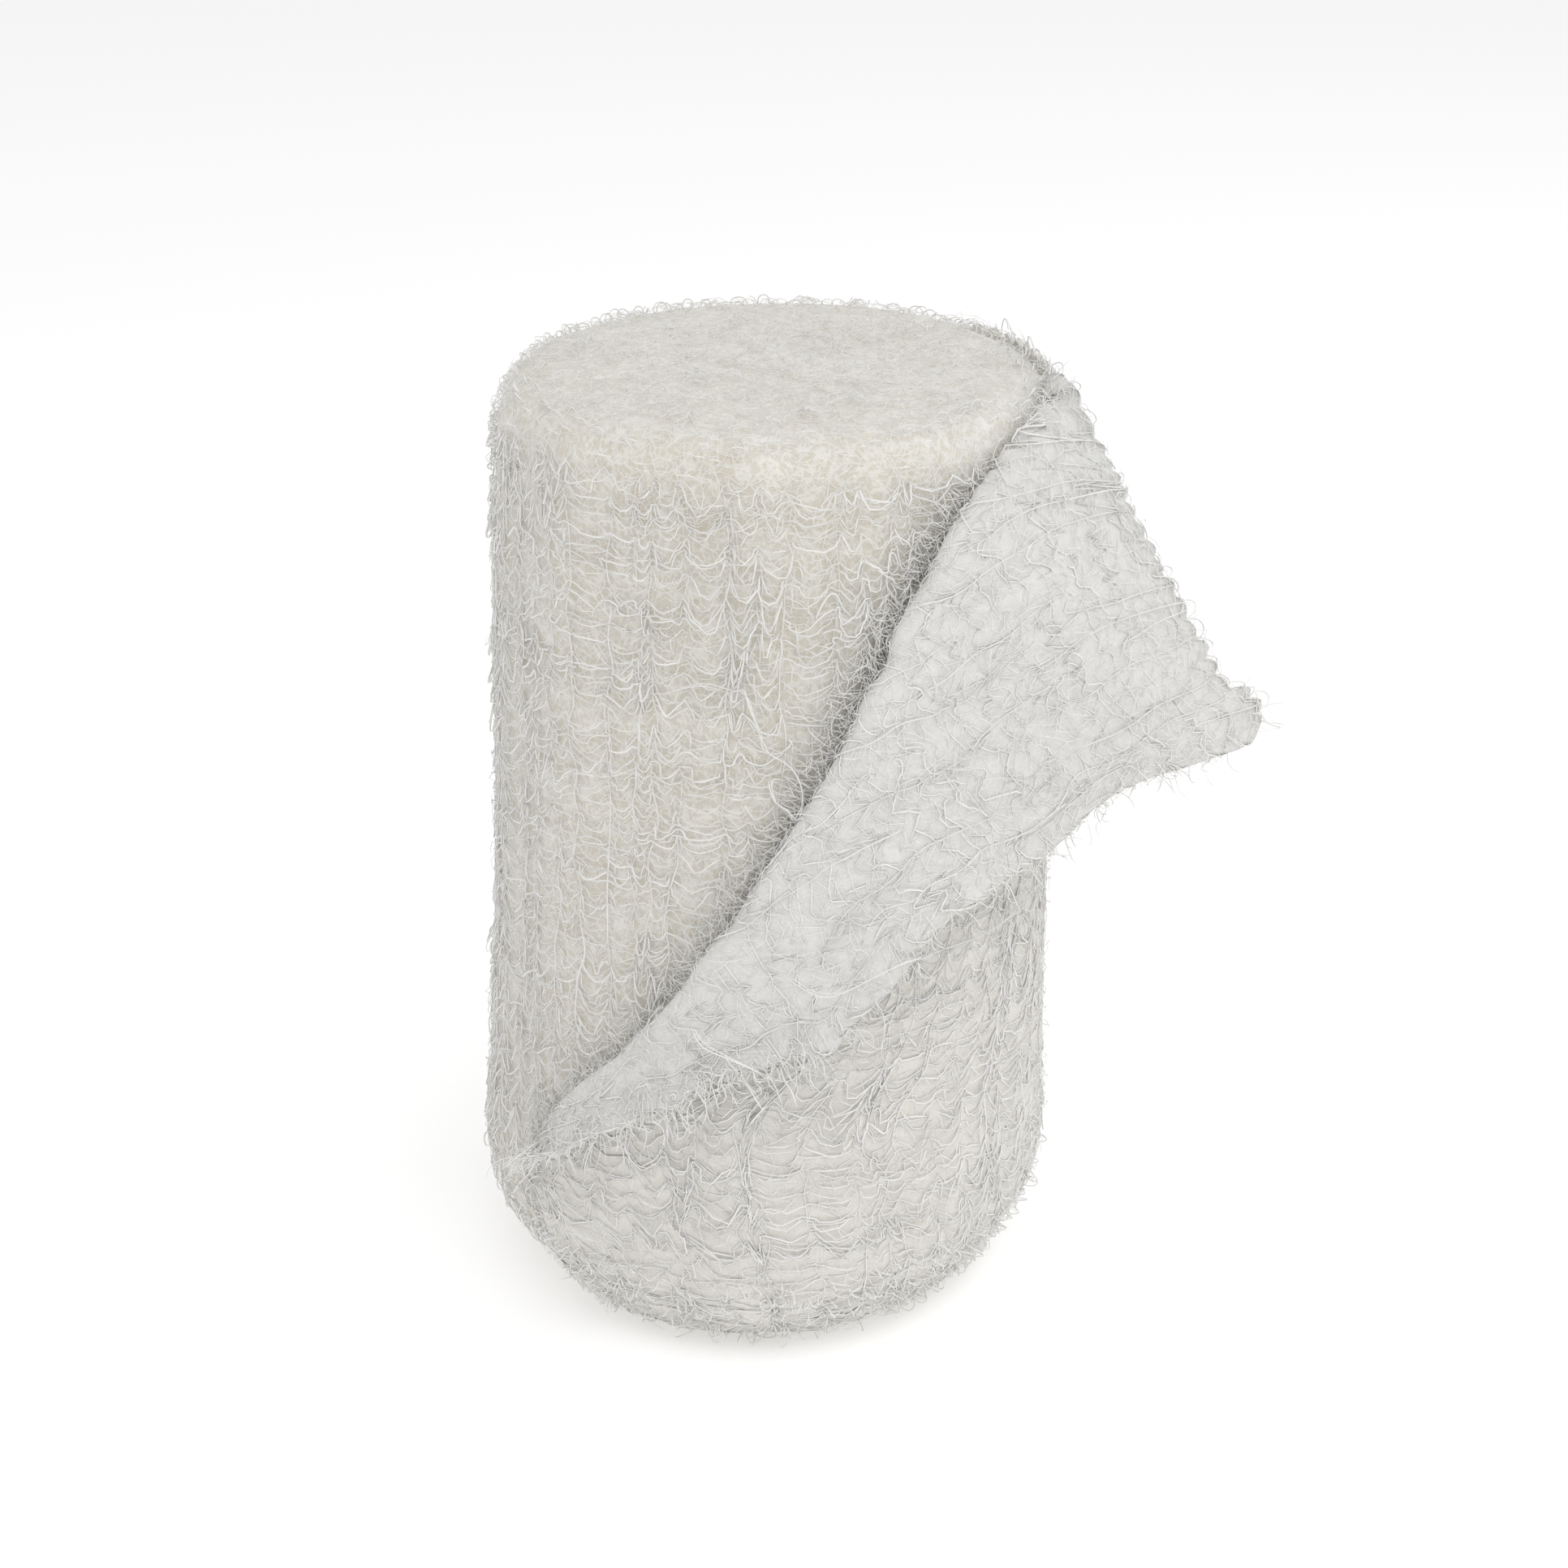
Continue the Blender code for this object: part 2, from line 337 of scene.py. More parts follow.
class Surface:
    """A smooth surface held as a grid of points, read anywhere between them by two shares from 0 to 1."""

    def __init__(self, points, closed):
        self.points = points
        if closed:
            ring = points[:, :-1]
            across = np.roll(ring, -1, axis=1) - np.roll(ring, 1, axis=1)
            across = np.concatenate((across, across[:, :1]), axis=1)
        else:
            across = np.gradient(points, axis=1)
        self.up = unit(np.gradient(points, axis=0))
        self.across = unit(across)
        self.normals = unit(np.cross(self.across, self.up))
        self.closed = closed

    def read(self, grid, u, v):
        """Grid values at u across and v up."""
        rows, columns = grid.shape[:2]
        u = np.mod(u, 1.0) if self.closed else np.clip(u, 0.0, 1.0)
        return read_grid(grid, u * (columns - 1), np.clip(v, 0.0, 1.0) * (rows - 1))

    def at(self, u, v, off=0.0):
        """Points at u across and v up, off the surface by a distance."""
        off = np.asarray(off + np.zeros_like(u))[..., None]
        return self.read(self.points, u, v) + off * unit(self.read(self.normals, u, v))


class RollForm:
    """The wound roll's surface.

    The share u goes once round from the front, and v goes from the middle of the base to that of the top.
    Rays find it: level ones from LOW to HIGH, and below and above them a fan from the roll's axis.
    """

    LOW = 22 * MM
    HIGH = 93 * MM
    ANGLES = 240
    LEVELS = 220
    SIDE_FROM = 0.5 * MM
    SIDE_LEVELS = 106

    def __init__(self, node):
        mesh = node.data
        corners = [tuple(v.co) for v in mesh.vertices]
        self.tree = BVHTree.FromPolygons(corners, [tuple(p.vertices) for p in mesh.polygons])
        angles = np.linspace(0, 360, self.ANGLES + 1)
        heights = np.linspace(self.SIDE_FROM, FULL_TO, self.SIDE_LEVELS)
        self.side = np.array([[self.side_ray(a, h) for a in angles] for h in heights])
        lines = np.array([self.meridian(a) for a in angles])
        self.surface = Surface(np.transpose(lines, (1, 0, 2)), closed=True)
        steps = np.linalg.norm(np.diff(lines, axis=1), axis=2)
        self.length = float(steps.sum(axis=1).mean())
        self.profile_height = lines[:, :, 2].mean(axis=0)
        from_axis = lines[:, :, :2] - np.stack((LEAN * lines[:, :, 2], 0 * lines[:, :, 2]), axis=-1)
        self.profile_radius = np.linalg.norm(from_axis, axis=2).mean(axis=0)

    def hit(self, angle, height, rise):
        """Where a ray from the roll's axis leaves the roll."""
        turn = math.radians(angle)
        tilt = math.radians(rise)
        way = Vector((math.sin(turn) * math.cos(tilt), -math.cos(turn) * math.cos(tilt), math.sin(tilt)))
        place = self.tree.ray_cast(Vector((LEAN * height, 0.0, height)), way)[0]
        if place is None:
            raise RuntimeError(f"no side of the roll at {angle} degrees")
        return place

    def side_ray(self, angle, height):
        """Radius of the roll's side."""
        place = self.hit(angle, height, 0.0)
        return math.hypot(place.x - LEAN * height, place.y)

    def meridian(self, angle):
        """Evenly spaced points from the middle of the base, up the side, to the middle of the top."""
        places = [self.hit(angle, self.LOW, rise) for rise in np.linspace(-89.9, -1.5, 60)]
        places += [self.hit(angle, height, 0.0) for height in np.linspace(self.LOW, self.HIGH, 40)]
        places += [self.hit(angle, self.HIGH, rise) for rise in np.linspace(1.5, 89.9, 70)]
        return spread_along(np.array([tuple(p) for p in places]), self.LEVELS)

    def radius(self, angle, height):
        """Radius of the roll's side at angles and heights, steady above the start of the rounded rim."""
        x = np.mod(angle, 360.0) / 360.0 * self.ANGLES
        share = np.clip((height - self.SIDE_FROM) / (FULL_TO - self.SIDE_FROM), 0, 1)
        return read_grid(self.side, x, (share + np.zeros_like(x)) * (self.SIDE_LEVELS - 1))

    def side_share(self, height):
        """The share v at which the side reaches a height."""
        top = int(np.argmax(self.profile_height > ROLL_HEIGHT - 1.2 * MM))
        low = int(np.argmax(self.profile_height > 0.4 * MM))
        return np.interp(height, self.profile_height[low:top], np.linspace(0, 1, self.LEVELS)[low:top])

    def rim_share(self, radius):
        """The share v at which the upper end has a radius."""
        half = self.LEVELS // 2
        shares = np.linspace(0, 1, self.LEVELS)[half:]
        return np.interp(-radius, -self.profile_radius[half:], shares)


def covered(angle, height, margin):
    """Whether the loose end lies over that place on the roll's side, past a margin in degrees."""
    angle = signed(angle)
    end = read_table(CUT_END, "end", height)
    edge = np.where(height > FOLDED_ROWS[0].height * MM, read_table(FOLDED_ROWS, "fold", height), end)
    return (angle > edge + margin) & (angle < ROOT_ANGLE - margin)


class LooseForm:
    """The loose last turn, halfway through its thickness.

    The share u goes from the cut end to the root, and v goes from the lower selvage to the upper one.
    """

    ROWS = 112
    COLUMNS = 240
    PLAIN_STEPS = 200
    LYING_STEPS = 160
    BEND_STEPS = 24
    LAPEL_STEPS = 60

    def __init__(self, roll):
        self.roll = roll
        self.width = UPPER_EDGE - LOWER_EDGE
        rows = []
        folds = []
        lengths = []
        for height in np.linspace(LOWER_EDGE, UPPER_EDGE, self.ROWS):
            path, at_fold = self.row(height)
            run = run_along(path)
            rows.append(spread_along(path, self.COLUMNS))
            folds.append(run[at_fold] / run[-1])
            lengths.append(run[-1])
        self.folds = np.array(folds)
        self.length = float(np.mean(lengths))
        self.surface = self.uneven(Surface(np.array(rows)[:, ::-1], closed=False))

    def uneven(self, plain):
        """The surface with ripples in its lapel, its upper selvage scalloped and its cut end ragged."""
        u, v = share_grid(self.ROWS, self.COLUMNS)
        rng = np.random.default_rng(FELT_SEED)
        ripple = drift_field(rng, self.COLUMNS, self.ROWS, 7, 24).T * RIPPLE
        ripple = ripple * self.lapel_share(u - 0.03, v)
        scallop = np.abs(np.sin(u * math.pi * SCALLOPS + drift(rng, self.COLUMNS, 20)))
        by_fold = np.exp(-(((u - self.fold_share(1.0)) / 0.04) ** 2))
        edge = ease((v - 0.95) / 0.05) * (scallop - 0.5) * SCALLOP * (1 - 0.9 * by_fold)
        edge = edge + ease((v - 0.92) / 0.08) * ease((0.075 - u) / 0.03) * TIP_WIDER
        along = u / np.maximum(self.fold_share(v), 0.01)
        wider = ease((v - 0.80) / 0.20) * ease(along / 0.7) * ease((1.08 - along) / 0.2) * LAPEL_WIDER
        edge = edge + wider
        ragged = drift(rng, self.ROWS, 3) * 0.8 + drift(rng, self.ROWS, 9) * 0.6
        longer = 0.8 * ease((v - 0.88) / 0.08)
        cut = ease((0.03 - u) / 0.03) * (ragged[:, None] - longer) * MM
        shift = plain.normals * ripple[..., None] + plain.up * edge[..., None]
        return Surface(plain.points + shift + plain.across * cut[..., None], closed=False)

    def lying(self, angle, height, lift):
        """Points of the last turn where it lies on the roll's side, or has lifted off it."""
        reach = 1 * MM
        upper = self.roll.radius(angle, min(height + reach, FULL_TO))
        lower = self.roll.radius(angle, min(height - reach, FULL_TO))
        flare = (upper - lower) / reach / 2
        off = (CLEARANCE + CLOTH / 2) / np.hypot(1, flare)
        off = off * (1 - ROOT_SINKS * ease((angle - ROOT_ANGLE) / ROOT_RUN + 1))
        off = off - RIM_LEAN * ease((height - FULL_TO) / (UPPER_EDGE - FULL_TO))
        radius = self.roll.radius(angle, min(height, FULL_TO))
        return around(angle, radius + off + lift, height - off * flare)

    def fold(self, height):
        """The angle at which a row of the felt folds, and how far it has lifted there."""
        angle = read_table(FOLDED_ROWS, "fold", height) - FELT_FOLDS_EARLIER
        return float(angle), read_table(FOLDED_ROWS, "lift", height) * FELT_LIFT * MM

    def fold_point(self, height):
        """Where a row starts to turn back."""
        angle, lift = self.fold(height)
        return self.lying(np.array([angle]), height, lift)[0]

    def bend(self, height):
        """Points of the soft bend over the fold."""
        angle = self.fold(height)[0]
        radius = read_table(FOLDED_ROWS, "bend", height) * FELT_BEND * MM
        out = np.array((math.sin(math.radians(angle)), -math.cos(math.radians(angle)), 0.0))
        run = np.array((-math.cos(math.radians(angle)), -math.sin(math.radians(angle)), 0.0))
        line = self.fold_point(height + LINE_SPAN) - self.fold_point(height - LINE_SPAN)
        line = unit(line - line.dot(out) * out)
        across = np.cross(out, line)
        slide = max(run.dot(line) / run.dot(across), -MOST_SLIDE)
        full_turn = read_table(FOLDED_ROWS, "turn", height)
        turn = np.radians(np.linspace(0, full_turn, self.BEND_STEPS))[:, None]
        reach = across * np.sin(turn) + out * (1 - np.cos(turn)) + line * slide * turn
        return self.fold_point(height) + radius * reach

    def row(self, height):
        """One row's path from its root to the cut end, and the index at which it starts to fold."""
        if height <= FOLDED_ROWS[0].height * MM:
            angles = np.linspace(ROOT_ANGLE, read_table(CUT_END, "end", height), self.PLAIN_STEPS)
            return self.lying(angles, height, 0.0), self.PLAIN_STEPS - 1
        fold, lift = self.fold(height)
        angles = np.linspace(ROOT_ANGLE, fold, self.LYING_STEPS)
        lying = self.lying(angles, height, lift * ease(1 - (angles - fold) / LIFT_TURN))
        end = np.array([read_table(FOLDED_ROWS, c, height) * MM for c in ("end_x", "end_y", "end_z")])
        bend = self.bend(height)
        reach = end - bend[-1]
        drop = np.array((0.0, 0.0, LAPEL_SAG * np.linalg.norm(reach)))
        t = np.linspace(0, 1, self.LAPEL_STEPS)[1:, None]
        lapel = bend[-1] + reach * t - drop * np.sin(math.pi * t)
        return np.concatenate((lying, bend[1:], lapel)), self.LYING_STEPS - 1

    def fold_share(self, v):
        """The share u at which the fold is, at v up the strip."""
        return 1 - np.interp(v, np.linspace(0, 1, self.ROWS), self.folds)

    def lapel_share(self, u, v):
        """How far past the fold a place is: 0 in the turn that lies on the roll, 1 in the lapel."""
        return ease((self.fold_share(v) - u) * 40 + 0.5)


@functools.lru_cache(maxsize=None)
def roll_form():
    """The roll's surface, read from its solid once."""
    return RollForm(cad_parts["wound_roll"])


@functools.lru_cache(maxsize=None)
def loose_form():
    """The loose end's surface, worked out once."""
    return LooseForm(roll_form())


# Node trees, for materials and for geometry.


class Wire:
    """A node's output. Arithmetic on it adds Math nodes."""

    def __init__(self, tree, socket):
        self.tree = tree
        self.socket = socket

    def maths(self, operation, *values):
        """The result of one Math node."""
        return self.tree.add("ShaderNodeMath", {"operation": operation}, *values)[0]

    def __add__(self, other):
        return self.maths("ADD", self, other)

    def __mul__(self, other):
        return self.maths("MULTIPLY", self, other)

    def __sub__(self, other):
        return self.maths("SUBTRACT", self, other)

    def __rsub__(self, other):
        return self.maths("SUBTRACT", other, self)

    def __truediv__(self, other):
        return self.maths("DIVIDE", self, other)

    def __pow__(self, other):
        return self.maths("POWER", self, other)

    def __abs__(self):
        return self.maths("ABSOLUTE", self)

    def clamp(self):
        """The value held between 0 and 1."""
        return self.maths("MAXIMUM", self.maths("MINIMUM", self, 1.0), 0.0)

    def most(self, other):
        """The larger of two values."""
        return self.maths("MAXIMUM", self, other)


class Nodes:
    """Adds nodes to a tree, each from its type, its settings and the values or links of its sockets."""

    def __init__(self, tree):
        self.tree = tree

    def add(self, kind, settings=None, *in_order, **named):
        """Adds one node and returns its enabled outputs, in order."""
        node = self.tree.nodes.new(kind)
        for name, value in (settings or {}).items():
            setattr(node, name, value)
        sockets = [s for s in node.inputs if s.enabled]
        given = list(zip(sockets, in_order))
        for name, value in named.items():
            given.append((next(s for s in sockets if s.name == name.replace("_", " ")), value))
        for socket, value in given:
            if isinstance(value, Wire):
                self.tree.links.new(value.socket, socket)
            elif value is not None:
                socket.default_value = value
        return [Wire(self, s) for s in node.outputs if s.enabled]


def opaque(colour):
    """A colour setting's value as nodes take it."""
    return tuple(colour) + (1.0,)


def new_material(name, **values):
    """A new material, its nodes and its shader, with the shader's values set."""
    material = bpy.data.materials.new(name)
    material.use_nodes = True
    shader = material.node_tree.nodes["Principled BSDF"]
    for label, value in values.items():
        shader.inputs[label.replace("_", " ")].default_value = value
    return material, Nodes(material.node_tree), shader


def cloth_material(name, light, shaded_hollow, scale, relief, glow=0.0, lying=None):
    """Felted gauze: curled fibres drawn as the zero lines of smooth noise, paler than the hollows, whose
    darker colour is painted shade.

    A colour for lying, also painted shade, takes the hollows' place where the cloth's lying attribute is 1.
    """
    material, nodes, shader = new_material(
        name,
        Roughness=0.95,
        Sheen_Weight=0.25,
        Sheen_Roughness=0.6,
        Specular_IOR_Level=0.1,
        Subsurface_Weight=glow,
        Subsurface_Radius=(1.0, 0.95, 0.85),
        Subsurface_Scale=GLOW_DEPTH,
    )
    place = nodes.add("ShaderNodeTexCoord")[3]
    fibres = None
    for layer in FIBRE_LAYERS:
        noise = nodes.add(
            "ShaderNodeTexNoise",
            {"noise_dimensions": "4D"},
            Vector=place,
            W=layer.seed,
            Scale=scale * layer.size,
            Detail=1.0,
            Roughness=0.4,
            Distortion=0.6,
        )[0]
        line = (1 - abs(noise - 0.5) / layer.width).clamp()
        fibres = line if fibres is None else fibres.most(line)
    patch = nodes.add("ShaderNodeTexNoise", None, Vector=place, Scale=scale * 0.3, Detail=3.0)[0]
    share = (fibres * 0.6 + (patch - 0.4) * 0.5).clamp()
    if lying is not None:
        there = nodes.add("ShaderNodeAttribute", {"attribute_name": "lying"})[2]
        # Painted shade: where the cloth lies on the roll, its hollows take the roll's darker hollow colour.
        shaded_hollow = nodes.add("ShaderNodeMix", {"data_type": "RGBA"}, Factor=there, A=shaded_hollow, B=lying)[0]
    # Painted shade: the hollows between the drawn fibres take a darker colour, standing for the shade
    # between them.
    colour = nodes.add("ShaderNodeMix", {"data_type": "RGBA"}, Factor=share, A=shaded_hollow, B=light)[0]
    links = material.node_tree.links
    links.new(colour.socket, shader.inputs["Base Color"])
    height = fibres * 0.6 + patch * 0.8
    bump = nodes.add("ShaderNodeBump", None, Strength=0.8, Distance=relief, Height=height)[0]
    links.new(bump.socket, shader.inputs["Normal"])
    return material


def yarn_material(name, colour, shade):
    """Soft cotton yarn, its colour a little uneven."""
    material, nodes, shader = new_material(
        name,
        Roughness=0.85,
        Sheen_Weight=0.8,
        Sheen_Roughness=0.6,
        Specular_IOR_Level=0.2,
    )
    place = nodes.add("ShaderNodeTexCoord")[3]
    patch = nodes.add("ShaderNodeTexNoise", None, Vector=place, Scale=160.0, Detail=2.0)[0]
    mixed = nodes.add("ShaderNodeMix", {"data_type": "RGBA"}, Factor=patch, A=shade, B=colour)[0]
    material.node_tree.links.new(mixed.socket, shader.inputs["Base Color"])
    return material


@functools.lru_cache(maxsize=None)
def finish(name):
    """One of the gauze's finishes, made once from the add-on's colours."""
    colours = bpy.context.scene.gauze_colours
    yarn = opaque(colours.yarn)
    # Painted shade: the hollow colours darken the felt between the yarns, standing for the shade deep in the
    # weave.
    shaded_hollow = opaque(colours.shaded_hollow)
    if name == "wound_cloth":
        return cloth_material(name, yarn, shaded_hollow, 620.0, 0.2 * MM, glow=0.8)
    if name == "loose_cloth":
        pale_shaded_hollow = opaque(colours.pale_shaded_hollow)
        return cloth_material(name, opaque(colours.felt), pale_shaded_hollow, 1500.0, 0.03 * MM, lying=shaded_hollow)
    if name == "yarn":
        return yarn_material(name, yarn, opaque(colours.yarn_shade))
    raise KeyError(name)


def new_tree(name, output, inputs):
    """A geometry tree with one output and named inputs, each with its kind and its default."""
    tree = bpy.data.node_groups.new(name, "GeometryNodeTree")
    for label, kind, default in inputs:
        socket = tree.interface.new_socket(label, in_out="INPUT", socket_type="NodeSocket" + kind)
        if default is not None:
            socket.default_value = default
    tree.interface.new_socket(output, in_out="OUTPUT", socket_type="NodeSocketGeometry")
    return tree


def stored(nodes, name, kind):
    """The value that a mesh carries under a name."""
    return nodes.add("GeometryNodeInputNamedAttribute", {"data_type": kind}, Name=name)[0]


def store(nodes, points, name, kind, value):
    """Points that carry a value under a name."""
    settings = {"data_type": kind, "domain": "POINT"}
    given = {"Geometry": points, "Name": name, "Value": value}
    return nodes.add("GeometryNodeStoreNamedAttribute", settings, **given)[0]


def vector_maths(nodes, operation, *values):
    """The result of one Vector Math node."""
    return nodes.add("ShaderNodeVectorMath", {"operation": operation}, *values)[0]


def end_in_threads(nodes, curves, sides, thickness, material):
    """Ends a tree: curves become round threads, one real mesh in its material."""
    section = nodes.add("GeometryNodeCurvePrimitiveCircle", None, Resolution=sides, Radius=1.0)[0]
    mesh = nodes.add(
        "GeometryNodeCurveToMesh",
        None,
        Curve=curves,
        Profile_Curve=section,
        Scale=thickness,
        Fill_Caps=True,
    )[0]
    smooth = nodes.add("GeometryNodeSetShadeSmooth", None, Geometry=mesh)[0]
    real = nodes.add("GeometryNodeRealizeInstances", None, Geometry=smooth)[0]
    done = nodes.add("GeometryNodeSetMaterial", None, Geometry=real, Material=material)[0]
    nodes.add("NodeGroupOutput", None, done)


@functools.lru_cache(maxsize=None)
def thread_tree():
    """Round threads along the edges of a mesh, as thick as its thickness attribute says."""
    inputs = (
        ("Paths", "Geometry", None),
        ("Sides", "Int", 3),
        ("Finish", "Material", None),
    )
    tree = new_tree("Threads along paths", "Threads", inputs)
    nodes = Nodes(tree)
    paths, sides, material = nodes.add("NodeGroupInput")[:3]
    curves = nodes.add("GeometryNodeMeshToCurve", None, Mesh=paths)[0]
    end_in_threads(nodes, curves, sides, stored(nodes, "thickness", "FLOAT"), material)
    return tree


@functools.lru_cache(maxsize=None)
def fluff_tree():
    """Short curled fibres spread over a mesh, as close together as its cover attribute says."""
    inputs = (
        ("Cloth", "Geometry", None),
        ("Density", "Float", 1.0e5),
        ("Length", "Float", 4 * MM),
        ("Thickness", "Float", 0.08 * MM),
        ("Curl", "Float", 1 * MM),
        ("Lift", "Float", 0.5 * MM),
        ("Seed", "Int", 1),
        ("Finish", "Material", None),
    )
    tree = new_tree("Fluff over a surface", "Fluff", inputs)
    nodes = Nodes(tree)
    cloth, density, length, thickness, curl, lift, seed, material = nodes.add("NodeGroupInput")[:8]
    cover = stored(nodes, "cover", "FLOAT")
    points, normal, turned = nodes.add(
        "GeometryNodeDistributePointsOnFaces", None, Mesh=cloth, Density=density * cover, Seed=seed
    )
    points = store(nodes, points, "out", "FLOAT_VECTOR", normal)
    own = nodes.add("FunctionNodeRandomValue", None, Min=0.0, Max=80.0, Seed=seed)[0]
    points = store(nodes, points, "own", "FLOAT", own)
    start =nodes.add("ShaderNodeCombineXYZ", None, X=length * -0.5)[0]
    end = nodes.add("ShaderNodeCombineXYZ", None, X=length * 0.5)[0]
    line = nodes.add("GeometryNodeCurvePrimitiveLine", None, Start=start, End=end)[0]
    line = nodes.add("GeometryNodeResampleCurve", None, Curve=line, Count=5)[0]
    spin = nodes.add("FunctionNodeRandomValue", None, Min=0.0, Max=2 * math.pi, Seed=seed + 1)[0]
    axis = (0.0, 0.0, 1.0)
    spin = nodes.add("FunctionNodeAxisAngleToRotation", None, Axis=axis, Angle=spin)[0]
    turned = nodes.add("FunctionNodeRotateRotation", {"rotation_space": "LOCAL"}, turned, spin)[0]
    size = nodes.add("FunctionNodeRandomValue", None, Min=0.55, Max=1.45, Seed=seed + 2)[0]
    fibres = nodes.add(
        "GeometryNodeInstanceOnPoints", None, Points=points, Instance=line, Rotation=turned, Scale=size
    )[0]
    fibres = nodes.add("GeometryNodeRealizeInstances", None, Geometry=fibres)[0]
    out = stored(nodes, "out", "FLOAT_VECTOR")
    own = stored(nodes, "own", "FLOAT")
    place = nodes.add("GeometryNodeInputPosition")[0]
    noise = nodes.add(
        "ShaderNodeTexNoise", {"noise_dimensions": "4D"}, Vector=place, W=own, Scale=460.0, Detail=1.0
    )[1]
    shift = vector_maths(nodes, "SUBTRACT", noise, (0.5, 0.5, 0.5))
    shift = vector_maths(nodes, "SCALE", shift, curl * 4.0)
    along = nodes.add("GeometryNodeSplineParameter")[0]
    from_middle = abs(along * 2.0 - 1.0)
    rise = vector_maths(nodes, "SCALE", out, lift * (1 - from_middle**2.0))
    moved = vector_maths(nodes, "ADD", place, vector_maths(nodes, "ADD", shift, rise))
    x, y, z = nodes.add("ShaderNodeSeparateXYZ", None, moved)
    moved = nodes.add("ShaderNodeCombineXYZ", None, x, y, z.most(0.0))[0]
    fibres = nodes.add("GeometryNodeSetPosition", None, Geometry=fibres, Position=moved)[0]
    taper = 1 - from_middle**3.0 * 0.75
    end_in_threads(nodes, fibres, 3, thickness * taper, material)
    return tree


# The values that a mesh carries only until its piece has grown.
CARRIED = ("out", "own", "thickness", "cover")


def link(name, data):
    """A new object in the scene."""
    thing = bpy.data.objects.new(name, data)
    bpy.context.scene.collection.objects.link(thing)
    return thing


def plain_mesh(thing, name):
    """An object's mesh with its modifiers applied. The object itself is taken away."""
    graph = bpy.context.evaluated_depsgraph_get()
    mesh = bpy.data.meshes.new_from_object(thing.evaluated_get(graph), depsgraph=graph)
    bpy.data.objects.remove(thing, do_unlink=True)
    mesh.name = name
    return mesh


def grow(name, mesh, tree, **inputs):
    """Makes the piece that a geometry tree grows on a mesh."""
    base = link(name + "_base", mesh)
    modifier = base.modifiers.new("grow", "NODES")
    modifier.node_group = tree
    for item in tree.interface.items_tree:
        if item.item_type == "SOCKET" and item.in_out == "INPUT" and item.name in inputs:
            modifier[item.identifier] = inputs[item.name]
    result = plain_mesh(base, name)
    for attribute in [a for a in result.attributes if a.name in CARRIED]:
        result.attributes.remove(attribute)
    show(name, result)


def show(name, mesh):
    """A finished mesh as an object of the scene, riding on the part's one body."""
    thing = link(name, mesh)
    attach(thing, "root")
    return thing


class Threads:
    """Paths of threads, gathered to be made one piece."""

    def __init__(self):
        self.paths = []
        self.sizes = []

    def add(self, path, size, ends=0.35):
        """One thread of that radius, thinner at its first and last points."""
        sizes = np.ones(len(path)) * size
        sizes[0] *= ends
        sizes[-1] *= ends
        path = np.array(path)
        path[:, 2] = np.maximum(path[:, 2], 0.0)
        self.paths.append(path)
        self.sizes.append(sizes)

    def add_runs(self, path, size, shown):
        """The stretches of a path that are shown, each as a thread."""
        marks = np.flatnonzero(np.diff(np.concatenate(([0], shown.astype(int), [0]))))
        for first, last in zip(marks[::2], marks[1::2]):
            if last - first > 3:
                self.add(path[first:last], size[first:last])

    def make(self, name):
        """Makes the piece."""
        points = np.concatenate(self.paths)
        first = np.cumsum([0] + [len(p) for p in self.paths])
        starts = np.ones(len(points), bool)
        starts[first[1:] - 1] = False
        low = np.flatnonzero(starts)
        mesh = bpy.data.meshes.new(name)
        mesh.vertices.add(len(points))
        mesh.vertices.foreach_set("co", points.astype(np.float32).ravel())
        mesh.edges.add(len(low))
        mesh.edges.foreach_set("vertices", np.stack((low, low + 1), axis=1).astype(np.int32).ravel())
        thickness = mesh.attributes.new("thickness", "FLOAT", "POINT")
        thickness.data.foreach_set("value", np.concatenate(self.sizes).astype(np.float32))
        mesh.update()
        grow(name, mesh, thread_tree(), Sides=3, Finish=finish("yarn"))


def grid_mesh(name, points, closed):
    """Quads between the points of a grid, with its rows going up."""
    if closed:
        points = points[:, :-1]
    rows, columns = points.shape[:2]
    index = np.arange(rows * columns).reshape(rows, columns)
    if closed:
        index = np.concatenate((index, index[:, :1]), axis=1)
    a, b = index[:-1, :-1], index[:-1, 1:]
    c, d = index[1:, 1:], index[1:, :-1]
    faces = np.stack((a, b, c, d), axis=-1).reshape(-1, 4)
    mesh = bpy.data.meshes.new(name)
    mesh.from_pydata(points.reshape(-1, 3).tolist(), [], faces.tolist())
    mesh.update()
    return mesh


def set_values(mesh, name, values):
    """Stores one number for each of a mesh's vertices."""
    data = mesh.attributes.new(name, "FLOAT", "POINT")
    data.data.foreach_set("value", np.asarray(values, np.float32).ravel())


def place_angle(points):
    """Angle round the roll of each point."""
    return np.degrees(np.arctan2(points[..., 0] - LEAN * points[..., 2], -points[..., 1]))


# What a user would change.


